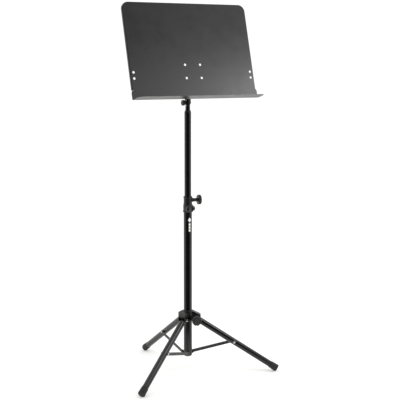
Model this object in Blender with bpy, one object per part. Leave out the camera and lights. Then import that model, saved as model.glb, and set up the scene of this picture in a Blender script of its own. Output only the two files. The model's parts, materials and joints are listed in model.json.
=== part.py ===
"""Orchestral music stand: tilting sheet-steel desk, two-tube mast, folding tripod.

Metres, +Z up. The desk faces -Y and +X is the reader's right hand side. Everything is
drawn around the mast's axis with the floor at zero height, and the finished stand is
then moved so the middle of its bounding box stands over the origin.
"""
import bpy
import bmesh
from math import atan2, cos, hypot, pi, radians, sin
from mathutils import Matrix, Vector
from mathutils.geometry import tessellate_polygon

# ---------------------------------------------------------------- general
GAP = 0.0003                    # air between two separate pieces that touch
WALL = 0.0013                   # of every tube
ROUND = 28                      # facets around a tube
COLLAR_ROUND = 32               # facets around the clamp and the hub
BORE_ROUND = 30                 # facets around the bores inside them
SMALL_ROUND = 14                # facets around bolts, rivets and their holes
KNOB_ROUND = 45                 # facets around a finger knob

# ---------------------------------------------------------------- desk
DESK_WIDTH = 0.500              # across the flanges
SHELF_WIDTH = DESK_WIDTH + 0.008   # the foot of the desk and its shelf are a little wider
DESK_HEIGHT = 0.354             # from the fold to the top edge, along the sheet
DESK_LEAN = radians(15.7)       # how far the desk leans back from upright
DESK_CORNER = 0.026             # radius of the two top corners
SHEET = 0.0012
FLANGE_DEPTH = 0.010            # edge turned back
FLANGE_BEND = 0.0025
FLANGE_FOOT = 0.036             # flanges end this far above the fold
FLANGE_RELIEF = 0.0010          # height of the cut that frees a flange's foot
FLANGE_STEP = 0.009             # height of the slanted step out to the shelf's width
SHELF_DEPTH = 0.056
SHELF_CORNER = 0.016
SHELF_BEND = 0.006              # outside radius of the fold
FOLD_FORWARD = 0.0716           # fold line in front of the mast's axis
FOLD_HEIGHT = 1.0247
HOLE_RADIUS = 0.0044
MIDDLE_HOLES = [(-0.0305, 0.0775), (0.0305, 0.0775), (-0.0305, 0.126), (0.0305, 0.126)]
SIDE_HOLE_OUT = DESK_WIDTH / 2 - 0.0135
SIDE_HOLES = [(-SIDE_HOLE_OUT, 0.0776), (-SIDE_HOLE_OUT, 0.0994),
              (SIDE_HOLE_OUT, 0.0776), (SIDE_HOLE_OUT, 0.0994)]

# ---------------------------------------------------------------- tilt joint
TILT_HEIGHT = FOLD_HEIGHT - 0.0154
CHEEK = 0.0015
CHEEK_RADIUS = 0.0075           # half the width of a cheek's lower arm
CHEEK_BACK_TOP = FOLD_HEIGHT + 0.0203
CHEEK_FRONT_TOP = FOLD_HEIGHT + 0.0098
CHEEK_HIGH = 0.118              # up the sheet, where the cheeks leave the plate
BRACKET_PLATE = 0.0022
BRACKET_LOW = 0.034
BRACKET_HIGH = 0.132
BRACKET_CUT = 0.007             # corners cut off the plate
BOLT_RADIUS = 0.0030
TILT_KNOB_RADIUS = 0.0104
TILT_KNOB_NECK = 0.0044
TILT_KNOB_THICK = 0.0092

# ---------------------------------------------------------------- mast
OUTER_RADIUS = 0.0154
OUTER_BOTTOM = 0.0761
OUTER_TOP = 0.634
UPPER_RADIUS = OUTER_RADIUS - WALL - 0.0017
UPPER_BOTTOM = 0.410
UPPER_TOP = TILT_HEIGHT - 0.0364
TAPER_TOP = UPPER_TOP + 0.0096
POST_RADIUS = UPPER_RADIUS - 0.0037
POST_BOTTOM = UPPER_TOP - 0.0380
POST_HOLLOW = 0.0016            # the post's wall
POST_FLAT_FROM = TILT_HEIGHT - 0.0145
POST_TOP = TILT_HEIGHT + 0.0150
CHEEK_INSIDE = POST_RADIUS - 0.0017   # from the middle to a cheek's inner face
NUT_RADIUS = 0.0055             # flange of a nut
NUT_OUT = CHEEK_INSIDE + CHEEK + NUT_RADIUS + 0.0005
NUT_PLACES = [(-NUT_OUT, 0.046), (NUT_OUT, 0.046), (-NUT_OUT, 0.108), (NUT_OUT, 0.108)]
BRACKET_HALF_WIDTH = NUT_OUT + 0.0070
PLUG_BOTTOM = OUTER_BOTTOM - 0.0144
LUG = 0.0026                    # thickness of a lug on the plug

# ---------------------------------------------------------------- height clamp
CLAMP_BOTTOM = OUTER_TOP - 0.0261
CLAMP_TOP = OUTER_TOP + 0.0326
CLAMP_KNOB_HEIGHT = OUTER_TOP + 0.0185
CLAMP_KNOB_TURN = radians(-11.2)
CLAMP_KNOB_REACH = UPPER_RADIUS + 0.0256   # inner face of the knob's head, from the axis
CLAMP_BOSS_HEIGHT = OUTER_TOP - 0.0125
CLAMP_BOSS_TURNS = [radians(-114.2), radians(-24.2)]
KNOB_RADIUS = 0.0183
KNOB_LOBES = 9
KNOB_NECK = 0.0168              # length of a knob's neck
SCREW_RADIUS = 0.0030           # threaded stems
SCREW_HOLE = SCREW_RADIUS + GAP
PIN_RADIUS = 0.0030             # pins of the legs
PIN_HOLE = PIN_RADIUS + GAP
RIVET_RADIUS = 0.0027           # rivets of the braces
RIVET_HOLE = RIVET_RADIUS + GAP

# ---------------------------------------------------------------- tripod
TRIPOD_TURN = radians(2.9)      # the desk is swung this far round from the legs
LEG_TURNS = {"right": radians(-30.0), "back": radians(90.0), "left": radians(210.0)}
LEG_RADIUS = 0.0115
HUB_WALL_RADIUS = OUTER_RADIUS + 0.0042
HUB_PIVOT_RADIUS = HUB_WALL_RADIUS + LEG_RADIUS + 0.0020   # leg pivots, out from the axis
HUB_PIVOT_HEIGHT = 0.2062
FOOT_RADIUS = LEG_RADIUS + 0.0020  # rubber foot
FOOT_REACH = 0.3356             # middle of a foot's end, out from the mast's axis
FOOT_END_HEIGHT = 0.0102
FOOT_LENGTH = 0.030
BRACE_SHARE = 0.4637            # the rivet's place along the leg, pivot to foot
BRACE_PIVOT_RADIUS = OUTER_RADIUS + 0.0027
BRACE_PIVOT_HEIGHT = 0.0767
BRACE_WIDTH = 0.0115
BRACE_THICK = 0.0024
BRACE_OFFSET = LEG_RADIUS + 0.0016   # brace's inner face, beside the leg's middle plane
HUB_BOTTOM = HUB_PIVOT_HEIGHT - 0.0097
HUB_TOP = HUB_PIVOT_HEIGHT + 0.0329
ARM_REACH = HUB_PIVOT_RADIUS + 0.0144
ARM_SLOT = LEG_RADIUS + 0.00035
ARM_HALF_WIDTH = ARM_SLOT + 0.0020
ARM_ROOF = 0.0055
ARM_END_TOP = HUB_PIVOT_HEIGHT + LEG_RADIUS + 0.0050
ARM_ROOT_TOP = ARM_END_TOP + 0.0123
ARM_END_BOTTOM = HUB_PIVOT_HEIGHT - 0.0032
HUB_KNOB_HEIGHT = HUB_PIVOT_HEIGHT + 0.0038
HUB_KNOB_TURN = radians(-90.0) + TRIPOD_TURN
HUB_KNOB_REACH = OUTER_RADIUS + 0.0437   # inner face of the knob's head, out from the axis

LEG_SLOPE = atan2(FOOT_REACH - HUB_PIVOT_RADIUS, HUB_PIVOT_HEIGHT - FOOT_END_HEIGHT)
LEG_LENGTH = hypot(FOOT_REACH - HUB_PIVOT_RADIUS, HUB_PIVOT_HEIGHT - FOOT_END_HEIGHT)
RIVET_RADIUS_OUT = HUB_PIVOT_RADIUS + BRACE_SHARE * LEG_LENGTH * sin(LEG_SLOPE)
RIVET_HEIGHT = HUB_PIVOT_HEIGHT - BRACE_SHARE * LEG_LENGTH * cos(LEG_SLOPE)
BRACE_LENGTH = hypot(RIVET_RADIUS_OUT - BRACE_PIVOT_RADIUS, RIVET_HEIGHT - BRACE_PIVOT_HEIGHT)
BRACE_SLOPE = atan2(RIVET_RADIUS_OUT - BRACE_PIVOT_RADIUS, RIVET_HEIGHT - BRACE_PIVOT_HEIGHT)

PAINT = ("powder_coated_steel", (0.020, 0.020, 0.020), 0.42, 0.0)
NYLON = ("black_nylon", (0.018, 0.018, 0.018), 0.50, 0.0)
RUBBER = ("black_rubber", (0.014, 0.014, 0.014), 0.80, 0.0)
ZINC = ("zinc_plated_steel", (0.62, 0.62, 0.60), 0.30, 1.0)
BRASS = ("brass_pad", (0.60, 0.45, 0.20), 0.35, 1.0)


# ================================================================ mesh helpers
def material(kind):
    """The named Principled material, made once."""
    name, colour, roughness, metallic = kind
    found = bpy.data.materials.get(name)
    if found:
        return found
    made = bpy.data.materials.new(name)
    made.use_nodes = True
    shader = made.node_tree.nodes["Principled BSDF"]
    shader.inputs["Base Color"].default_value = (colour[0], colour[1], colour[2], 1.0)
    shader.inputs["Roughness"].default_value = roughness
    shader.inputs["Metallic"].default_value = metallic
    return made


def solid(name, shape, kind, place=None, pivot=(0.0, 0.0, 0.0), smooth=True):
    """An object from (points, faces), placed by a matrix, with its origin on the pivot."""
    points, faces = shape
    place = place or Matrix.Identity(4)
    pivot = Vector(pivot)
    mesh = bpy.data.meshes.new(name)
    mesh.from_pydata([tuple(place @ Vector(p) - pivot) for p in points], [], faces)
    work = bmesh.new()
    work.from_mesh(mesh)
    bmesh.ops.remove_doubles(work, verts=work.verts, dist=1e-7)
    bmesh.ops.recalc_face_normals(work, faces=work.faces)
    work.to_mesh(mesh)
    work.free()
    mesh.materials.append(material(kind))
    made = bpy.data.objects.new(name, mesh)
    made.location = pivot
    bpy.context.scene.collection.objects.link(made)
    if smooth:
        mesh.shade_smooth()
        mesh.set_sharp_from_angle(angle=radians(35.0))
    return made


def joined(base, tools, how):
    """Apply one exact Boolean per tool to the base object, and remove the tools."""
    for tool in tools:
        step = base.modifiers.new("step", "BOOLEAN")
        step.operation = how
        step.solver = "EXACT"
        step.object = tool
        bpy.context.view_layer.update()
        graph = bpy.context.evaluated_depsgraph_get()
        mesh = bpy.data.meshes.new_from_object(base.evaluated_get(graph))
        base.modifiers.remove(step)
        base.data = mesh
        bpy.data.objects.remove(tool)
        work = bmesh.new()
        work.from_mesh(mesh)
        bmesh.ops.remove_doubles(work, verts=work.verts, dist=1e-6)
        bmesh.ops.dissolve_degenerate(work, edges=work.edges, dist=1e-7)
        work.to_mesh(mesh)
        work.free()
    base.data.shade_smooth()
    base.data.set_sharp_from_angle(angle=radians(35.0))
    return base


def ring(radius, height, count, turn=0.0):
    """Points of one level circle."""
    return [(radius * cos(turn + 2 * pi * k / count), radius * sin(turn + 2 * pi * k / count),
             height) for k in range(count)]


def lofted(rings):
    """Closed solid through equal rings of points, with a fan on each end."""
    count = len(rings[0])
    points = [p for level in rings for p in level]
    faces = []
    for level in range(len(rings) - 1):
        low = level * count
        for k in range(count):
            n = (k + 1) % count
            faces.append((low + k, low + n, low + count + n, low + count + k))
    for level in (0, len(rings) - 1):
        middle = [sum(p[a] for p in rings[level]) / count for a in range(3)]
        points.append(tuple(middle))
        hub = len(points) - 1
        for k in range(count):
            faces.append((hub, level * count + k, level * count + (k + 1) % count))
    return points, faces


def turned(profile, count=ROUND):
    """Solid of revolution about Z from (radius, height) pairs, closed across both ends."""
    return lofted([ring(r, z, count) for r, z in profile])


def turned_ring(profile, count=ROUND):
    """Hollow solid of revolution: the profile is a closed loop clear of the axis."""
    points = [p for r, z in profile for p in ring(r, z, count)]
    faces = []
    for level in range(len(profile)):
        low = level * count
        high = ((level + 1) % len(profile)) * count
        for k in range(count):
            n = (k + 1) % count
            faces.append((low + k, low + n, high + n, high + k))
    return points, faces


def sleeve(outer, inner, bottom, top, edge=0.0004):
    """Profile of a plain tube with broken outer edges."""
    return [(inner, bottom), (outer - edge, bottom), (outer, bottom + edge),
            (outer, top - edge), (outer - edge, top), (inner, top)]


def prism(outline, low, high):
    """Outline of (first, second) points pulled along the third axis."""
    count = len(outline)
    points = [(a, b, low) for a, b in outline] + [(a, b, high) for a, b in outline]
    faces = [tuple(range(count)), tuple(range(count, 2 * count))]
    for k in range(count):
        n = (k + 1) % count
        faces.append((k, n, count + n, count + k))
    return points, faces


def drill(radius, start, end, place):
    """Cutter for a round hole along the Z of the given frame."""
    return solid("drill", turned([(radius, start), (radius, end)], SMALL_ROUND), PAINT, place)


def arc(centre, radius, start, end, steps):
    """Points along an arc, both ends included."""
    return [(centre[0] + radius * cos(start + (end - start) * k / steps),
             centre[1] + radius * sin(start + (end - start) * k / steps))
            for k in range(steps + 1)]


def axes(first, second, third, origin=(0.0, 0.0, 0.0)):
    """Matrix whose columns are the three given directions."""
    made = Matrix.Identity(4)
    for column, direction in enumerate((first, second, third, origin)):
        for row in range(3):
            made[row][column] = direction[row]
    return made


def leg_directions(turn):
    """Outward and sideways unit vectors of an arm at this turn about the mast."""
    return Vector((cos(turn), sin(turn), 0.0)), Vector((-sin(turn), cos(turn), 0.0))


def across(turn, out, height):
    """Frame whose Z runs sideways past an arm, its origin in the arm's middle plane."""
    outward, sideways = leg_directions(turn)
    return axes(outward, Vector((0, 0, 1)), sideways, outward * out + Vector((0, 0, height)))


def along(turn, height):
    """Frame whose Z runs straight out from the mast's axis at this height."""
    outward, sideways = leg_directions(turn)
    return axes(sideways, Vector((0, 0, 1)), outward, Vector((0, 0, height)))


def down_leg(turn):
    """Frame whose Z runs from the hub pivot down the leg to its foot."""
    outward, sideways = leg_directions(turn)
    slope = outward * sin(LEG_SLOPE) - Vector((0, 0, cos(LEG_SLOPE)))
    origin = outward * HUB_PIVOT_RADIUS + Vector((0, 0, HUB_PIVOT_HEIGHT))
    return axes(sideways.cross(slope), sideways, slope, origin)


def desk_frame():
    """Frame of the desk: X across, Y up the sheet, Z forward out of its face."""
    up = Vector((0, sin(DESK_LEAN), cos(DESK_LEAN)))
    forward = Vector((0, -cos(DESK_LEAN), sin(DESK_LEAN)))
    return axes(Vector((1, 0, 0)), up, forward, Vector((0, -FOLD_FORWARD, FOLD_HEIGHT)))


def lobed(radius, height, lobes, count, depth):
    """One level ring of a finger knob, scalloped by a rounded wave."""
    points = []
    for k in range(count):
        angle = 2 * pi * k / count
        wave = 0.5 - 0.5 * cos(lobes * angle)
        reach = radius - depth * wave * wave
        points.append((reach * cos(angle), reach * sin(angle), height))
    return points


# ================================================================ desk
def desk_plate():
    """The folded sheet: face with holes, flanges turned back, shelf at the foot."""
    half = DESK_WIDTH / 2
    foot = SHELF_WIDTH / 2
    bend = FLANGE_BEND
    path = [((half, FLANGE_FOOT), (1.0, 0.0))]
    for side in (1, -1):
        centre = (side * (half - DESK_CORNER), DESK_HEIGHT - DESK_CORNER)
        start = 0.0 if side == 1 else pi / 2
        for k in range(7):
            angle = start + k * pi / 12
            normal = (cos(angle), sin(angle))
            path.append(((centre[0] + DESK_CORNER * normal[0],
                          centre[1] + DESK_CORNER * normal[1]), normal))
    path.append(((-half, FLANGE_FOOT), (-1.0, 0.0)))
    chain = [(-bend + bend * sin(a), -bend + bend * cos(a)) for a in
             (0, pi / 8, pi / 4, 3 * pi / 8, pi / 2)]
    chain += [(0.0, -FLANGE_DEPTH), (-SHEET, -FLANGE_DEPTH)]
    inner = bend - SHEET
    chain += [(-bend + inner * sin(a), -bend + inner * cos(a)) for a in
              (pi / 2, 3 * pi / 8, pi / 4, pi / 8, 0)]
    points = []
    faces = []

    def add(x, y, z):
        points.append((x, y, z))
        return len(points) - 1

    rows = [[add(at[0] + out * normal[0], at[1] + out * normal[1], deep) for out, deep in chain]
            for at, normal in path]
    for k in range(len(rows) - 1):
        for j in range(len(chain) - 1):
            faces.append((rows[k][j], rows[k][j + 1], rows[k + 1][j + 1], rows[k + 1][j]))
    faces.append(tuple(rows[0]))
    faces.append(tuple(rows[-1]))

    low = SHELF_BEND
    step = FLANGE_FOOT - FLANGE_STEP
    relief = FLANGE_FOOT - FLANGE_RELIEF
    left = [(-half + bend, relief), (-half, relief), (-foot, step), (-foot, low)]
    foot_line = left + [(-x, y) for x, y in reversed(left)]
    front_more = [add(x, y, 0.0) for x, y in foot_line]
    back_more = [add(x, y, -SHEET) for x, y in foot_line]
    front = [row[0] for row in rows] + front_more
    back = [row[-1] for row in rows] + back_more
    fold = len(rows) + len(left) - 1
    for k in range(len(rows) - 1, len(front)):
        n = (k + 1) % len(front)
        if k != fold:
            faces.append((front[k], front[n], back[n], back[k]))

    holes = []
    for x, y in MIDDLE_HOLES + SIDE_HOLES:
        loop = [(x + a, y + b) for a, b, _ in ring(HOLE_RADIUS, 0.0, SMALL_ROUND)]
        near = [add(a, b, 0.0) for a, b in loop]
        far = [add(a, b, -SHEET) for a, b in loop]
        for k in range(SMALL_ROUND):
            n = (k + 1) % SMALL_ROUND
            faces.append((near[k], near[n], far[n], far[k]))
        holes.append((near, far))
    for outline, which in ((front, 0), (back, 1)):
        loops = [outline] + [hole[which] for hole in holes]
        flat = [index for loop in loops for index in loop]
        cut = tessellate_polygon([[Vector((points[i][0], points[i][1], 0.0)) for i in loop]
                                  for loop in loops])
        for triangle in cut:
            faces.append(tuple(flat[i] for i in triangle))

    # fold and shelf: the section runs down the face, round the bend and out forward
    inside = SHELF_BEND - SHEET
    section = []
    for k in range(1, 7):
        angle = pi / 2 * k / 6
        section.append(((SHELF_BEND - inside * sin(angle), inside - inside * cos(angle)),
                        (SHELF_BEND - SHELF_BEND * sin(angle),
                         inside - SHELF_BEND * cos(angle))))
    top_last = (front[fold], front[fold + 1])
    under_last = (back[fold], back[fold + 1])
    for (ty, tz), (uy, uz) in section:
        top_next = (add(-foot, ty, tz), add(foot, ty, tz))
        under_next = (add(-foot, uy, uz), add(foot, uy, uz))
        faces.append((top_last[0], top_last[1], top_next[1], top_next[0]))
        faces.append((under_last[0], under_last[1], under_next[1], under_next[0]))
        for side in (0, 1):
            faces.append((top_last[side], top_next[side], under_next[side], under_last[side]))
        top_last = top_next
        under_last = under_next
    rim = []
    for side in (1, -1):
        start = 0.0 if side == 1 else pi / 2
        centre = (side * (foot - SHELF_CORNER), SHELF_DEPTH - SHEET - SHELF_CORNER)
        rim += arc(centre, SHELF_CORNER, start, start + pi / 2, 7)
    top_rim = [top_last[1]] + [add(x, SHEET, z) for x, z in rim] + [top_last[0]]
    under_rim = [under_last[1]] + [add(x, 0.0, z) for x, z in rim] + [under_last[0]]
    faces.append(tuple(top_rim))
    faces.append(tuple(under_rim))
    for k in range(len(top_rim) - 1):
        faces.append((top_rim[k], top_rim[k + 1], under_rim[k + 1], under_rim[k]))
    return solid("desk_plate", (points, faces), PAINT, desk_frame(), (0, 0, TILT_HEIGHT))


def bolt_hole():
    """Cutter for the tilt bolt's hole, across the post's axis."""
    return drill(BOLT_RADIUS + GAP, -2 * POST_RADIUS, 2 * POST_RADIUS,
                 axes((0, 1, 0), (0, 0, 1), (1, 0, 0), (0, 0, TILT_HEIGHT)))


def desk_bracket():
    """Plate on the desk's back with two cheeks that hang beside the post."""
    frame = desk_frame()
    near = -SHEET - GAP
    far = near - BRACKET_PLATE
    half = BRACKET_HALF_WIDTH
    cut = BRACKET_CUT
    outline = [(-half + cut, BRACKET_LOW), (half - cut, BRACKET_LOW), (half, BRACKET_LOW + cut),
               (half, BRACKET_HIGH - cut), (half - cut, BRACKET_HIGH),
               (-half + cut, BRACKET_HIGH), (-half, BRACKET_HIGH - cut),
               (-half, BRACKET_LOW + cut)]
    plate = solid("desk_bracket", prism(outline, far, near), PAINT, frame, (0, 0, TILT_HEIGHT))
    middle = (near + far) / 2
    cheeks = []
    for side in (1, -1):
        shape = arc((0.0, TILT_HEIGHT), CHEEK_RADIUS, pi, 2 * pi, 10)
        shape.append((CHEEK_RADIUS, CHEEK_BACK_TOP))
        for height in (CHEEK_HIGH, BRACKET_LOW + cut):
            at = frame @ Vector((0.0, height, middle))
            shape.append((at.y, at.z))
        shape.append((-CHEEK_RADIUS, CHEEK_FRONT_TOP))
        low = CHEEK_INSIDE if side == 1 else -CHEEK_INSIDE - CHEEK
        sideways = axes((0, 1, 0), (0, 0, 1), (1, 0, 0))
        cheek = solid("cheek", prism(shape, low, low + CHEEK), PAINT, sideways)
        cheeks.append(cheek)
    joined(plate, cheeks, "UNION")
    return joined(plate, [bolt_hole()], "DIFFERENCE")


def desk_nuts():
    """Nuts on weld studs that hold the bracket to the desk's back."""
    back = -SHEET - GAP - BRACKET_PLATE - GAP
    for number, (x, y) in enumerate(NUT_PLACES):
        profile = [ring(NUT_RADIUS, back, 12), ring(NUT_RADIUS, back - 0.0010, 12),
                   ring(0.0046, back - 0.0014, 12), ring(0.0042, back - 0.0048, 12),
                   ring(0.0024, back - 0.0048, 12), ring(0.0022, back - 0.0072, 12)]
        place = desk_frame() @ Matrix.Translation((x, y, 0.0))
        solid("desk_nut_%d" % (number + 1), lofted(profile), ZINC, place,
              (0, 0, TILT_HEIGHT))


# ================================================================ tilt joint
def tilt_joint():
    """Bolt through the cheeks and the post, friction washer and finger knob."""
    place = axes((0, 1, 0), (0, 0, 1), (-1, 0, 0), (0, 0, TILT_HEIGHT))
    start = CHEEK_INSIDE + CHEEK + GAP
    bolt = [(0.0040, -start - 0.0036), (0.0054, -start - 0.0024), (0.0056, -start),
            (BOLT_RADIUS, -start), (BOLT_RADIUS, start + 0.0081), (0.0024, start + 0.0087)]
    solid("tilt_bolt", turned(bolt, SMALL_ROUND), ZINC, place, (0, 0, TILT_HEIGHT))
    washer = sleeve(0.0068, BOLT_RADIUS + GAP, start, start + 0.0014, 0.0003)
    solid("tilt_washer", turned_ring(washer, SMALL_ROUND), NYLON, place, (0, 0, TILT_HEIGHT))
    base = start + 0.0014 + GAP
    neck = 0.0056
    count = 35
    bore = BOLT_RADIUS + GAP
    head = base + TILT_KNOB_NECK
    end = head + TILT_KNOB_THICK
    levels = [ring(bore, base, count), ring(neck, base, count), ring(neck, head, count),
              lobed(TILT_KNOB_RADIUS - 0.0008, head, 7, count, 0.0014),
              lobed(TILT_KNOB_RADIUS, head + 0.0008, 7, count, 0.0014),
              lobed(TILT_KNOB_RADIUS, end - 0.0018, 7, count, 0.0014),
              lobed(TILT_KNOB_RADIUS - 0.0010, end - 0.0006, 7, count, 0.0014),
              ring(0.0040, end - 0.0004, count)]
    points = [p for level in levels for p in level]
    faces = []
    for level in range(len(levels) - 1):
        for k in range(count):
            n = (k + 1) % count
            low = level * count
            faces.append((low + k, low + n, low + count + n, low + count + k))
    top = (len(levels) - 1) * count
    points.append((0, 0, end))
    for k in range(count):
        faces.append((len(points) - 1, top + k, top + (k + 1) % count))
    deep = start + 0.0094
    floor = len(points)
    points += ring(bore, deep, count)
    points.append((0, 0, deep))
    for k in range(count):
        n = (k + 1) % count
        faces.append((k, n, floor + n, floor + k))
        faces.append((len(points) - 1, floor + k, floor + n))
    solid("tilt_knob", (points, faces), NYLON, place, (0, 0, TILT_HEIGHT))


def desk_post():
    """Round post with a flattened head for the tilt bolt."""
    profile = [(POST_RADIUS - 0.0008, POST_BOTTOM), (POST_RADIUS, POST_BOTTOM + 0.0008),
               (POST_RADIUS, POST_TOP - 0.0040), (POST_RADIUS - 0.0016, POST_TOP - 0.0012),
               (POST_RADIUS - 0.0040, POST_TOP)]
    post = solid("desk_post", turned(profile), PAINT, None, (0, 0, TILT_HEIGHT))
    flat = CHEEK_INSIDE - GAP
    wide = 2 * POST_RADIUS
    high = POST_TOP + wide
    box = [(-wide, POST_FLAT_FROM), (wide, POST_FLAT_FROM), (wide, high), (-wide, high)]
    sideways = axes((0, 1, 0), (0, 0, 1), (1, 0, 0))
    hollow = POST_RADIUS - POST_HOLLOW
    cutters = [solid("cut", prism(box, flat, wide), PAINT, sideways),
               solid("cut", prism(box, -wide, -flat), PAINT, sideways),
               bolt_hole(),
               solid("cut", turned([(hollow, POST_BOTTOM - 0.01), (hollow, UPPER_TOP - 0.002),
                                    (0.0010, UPPER_TOP + 0.002)]), PAINT)]
    return joined(post, cutters, "DIFFERENCE")


# ================================================================ mast
def mast():
    """Both tubes with the plastic pieces that fill between them."""
    solid("upper_tube", turned_ring(sleeve(UPPER_RADIUS, UPPER_RADIUS - WALL,
                                           UPPER_BOTTOM, UPPER_TOP)), PAINT)
    bore = POST_RADIUS + GAP
    spigot = UPPER_RADIUS - WALL - GAP
    shoulder = UPPER_TOP + GAP
    low = POST_BOTTOM - 0.0057
    bushing = [(bore, low), (spigot - 0.0006, low), (spigot, low + 0.002), (spigot, shoulder),
               (UPPER_RADIUS, shoulder), (UPPER_RADIUS, shoulder + 0.0014),
               (bore + 0.0009, TAPER_TOP - 0.0006), (bore + 0.0005, TAPER_TOP),
               (bore, TAPER_TOP)]
    solid("post_bushing", turned_ring(bushing), NYLON)
    collar = OUTER_RADIUS - WALL - GAP
    foot = UPPER_BOTTOM - GAP
    bore = spigot - 0.0017
    guide = [(bore, foot - 0.010), (collar - 0.0008, foot - 0.010), (collar, foot - 0.009),
             (collar, foot), (spigot, foot), (spigot, foot + 0.018),
             (spigot - 0.0006, foot + 0.020), (bore, foot + 0.020)]
    solid("tube_guide", turned_ring(guide), NYLON)
    solid("outer_tube", turned_ring(sleeve(OUTER_RADIUS, OUTER_RADIUS - WALL,
                                           OUTER_BOTTOM, OUTER_TOP)), PAINT)
    bore = UPPER_RADIUS + GAP
    low = OUTER_TOP - 0.034
    lining = [(bore, low), (collar - 0.0005, low), (collar, low + 0.001),
              (collar, OUTER_TOP - GAP), (bore, OUTER_TOP - GAP)]
    solid("mast_bushing", turned_ring(lining), NYLON)


def lug_outline():
    """Side view of one lug on the bottom plug: (out, up) points."""
    centre = (BRACE_PIVOT_RADIUS, BRACE_PIVOT_HEIGHT)
    root = OUTER_RADIUS / 3
    low = PLUG_BOTTOM + 0.0028
    shape = [(root, low), (BRACE_PIVOT_RADIUS - 0.0055, low)]
    shape += arc(centre, 0.0060, radians(-62.0), radians(158.0), 10)
    last = shape[-1][0]
    shape += [(last, OUTER_BOTTOM - GAP), (root, OUTER_BOTTOM - GAP)]
    return shape


def bottom_plug():
    """Plug in the mast's foot with a lug beside the plane of each leg."""
    radius = OUTER_RADIUS
    spigot = OUTER_RADIUS - WALL - GAP
    top = OUTER_BOTTOM - GAP
    profile = [(radius - 0.0060, PLUG_BOTTOM), (radius - 0.0026, PLUG_BOTTOM + 0.0012),
               (radius - 0.0006, PLUG_BOTTOM + 0.0036), (radius, PLUG_BOTTOM + 0.0060),
               (radius, top), (spigot, top), (spigot, top + 0.0187), (spigot - 0.0012, top + 0.0202)]
    plug = solid("bottom_plug", turned(profile), NYLON)
    outer = BRACE_OFFSET - GAP
    lugs = []
    for turn in LEG_TURNS.values():
        frame = across(turn + TRIPOD_TURN, 0.0, 0.0)
        lugs.append(solid("lug", prism(lug_outline(), outer - LUG, outer), NYLON, frame))
    joined(plug, lugs, "UNION")
    holes = []
    for turn in LEG_TURNS.values():
        frame = across(turn + TRIPOD_TURN, BRACE_PIVOT_RADIUS, BRACE_PIVOT_HEIGHT)
        holes.append(drill(RIVET_HOLE, outer - LUG - 0.0015, outer + 0.0015, frame))
    return joined(plug, holes, "DIFFERENCE")


# ================================================================ height clamp
def knob_levels(inner, count):
    """Rings of a finger knob on its threaded stem, from the stem's tip outwards.

    inner is the distance from the mast's axis to the inner face of the knob's head.
    """
    neck = 0.0060
    dip = 0.0021
    lobes = KNOB_LOBES
    return [ring(neck, inner - KNOB_NECK, count), ring(neck, inner, count),
            lobed(KNOB_RADIUS - 0.0018, inner, lobes, count, dip),
            lobed(KNOB_RADIUS, inner + 0.0016, lobes, count, dip),
            lobed(KNOB_RADIUS, inner + 0.0088, lobes, count, dip),
            lobed(KNOB_RADIUS - 0.0018, inner + 0.0108, lobes, count, dip),
            ring(0.0110, inner + 0.0112, count), ring(0.0095, inner + 0.0102, count)]


def finger_knob(name, turn, height, inner, tip):
    """A lobed knob with its neck and the screw that runs in to the tip distance."""
    count = KNOB_ROUND
    stem = SCREW_RADIUS
    levels = [ring(stem - 0.0006, tip, count), ring(stem, tip + 0.0006, count),
              ring(stem, inner - KNOB_NECK, count)]
    shape = lofted(levels + knob_levels(inner, count))
    outward, sideways = leg_directions(turn)
    return solid(name, shape, NYLON, along(turn, height), outward * inner
                 + Vector((0, 0, height)))


def tapered_boss(turn, height):
    """Screw boss: a broad base drawn in to a small round end."""
    levels = []
    for out, wide, tall in ((-0.0028, 0.0100, 0.0140), (0.0012, 0.0100, 0.0140),
                            (0.0067, 0.0078, 0.0088), (0.0107, 0.0056, 0.0048),
                            (0.0114, 0.0050, 0.0042)):
        levels.append([(wide * x, tall * y, OUTER_RADIUS + out) for x, y, _ in
                       ring(1.0, 0.0, 16)])
    return solid("boss", lofted(levels), NYLON, along(turn, height))


def pressure_pad(tube):
    """Profile of the pad a knob's screw presses on a tube of this radius."""
    return [(0.0026, tube + 0.0004), (0.0028, tube + 0.0007), (0.0028, tube + 0.0024)]


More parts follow.
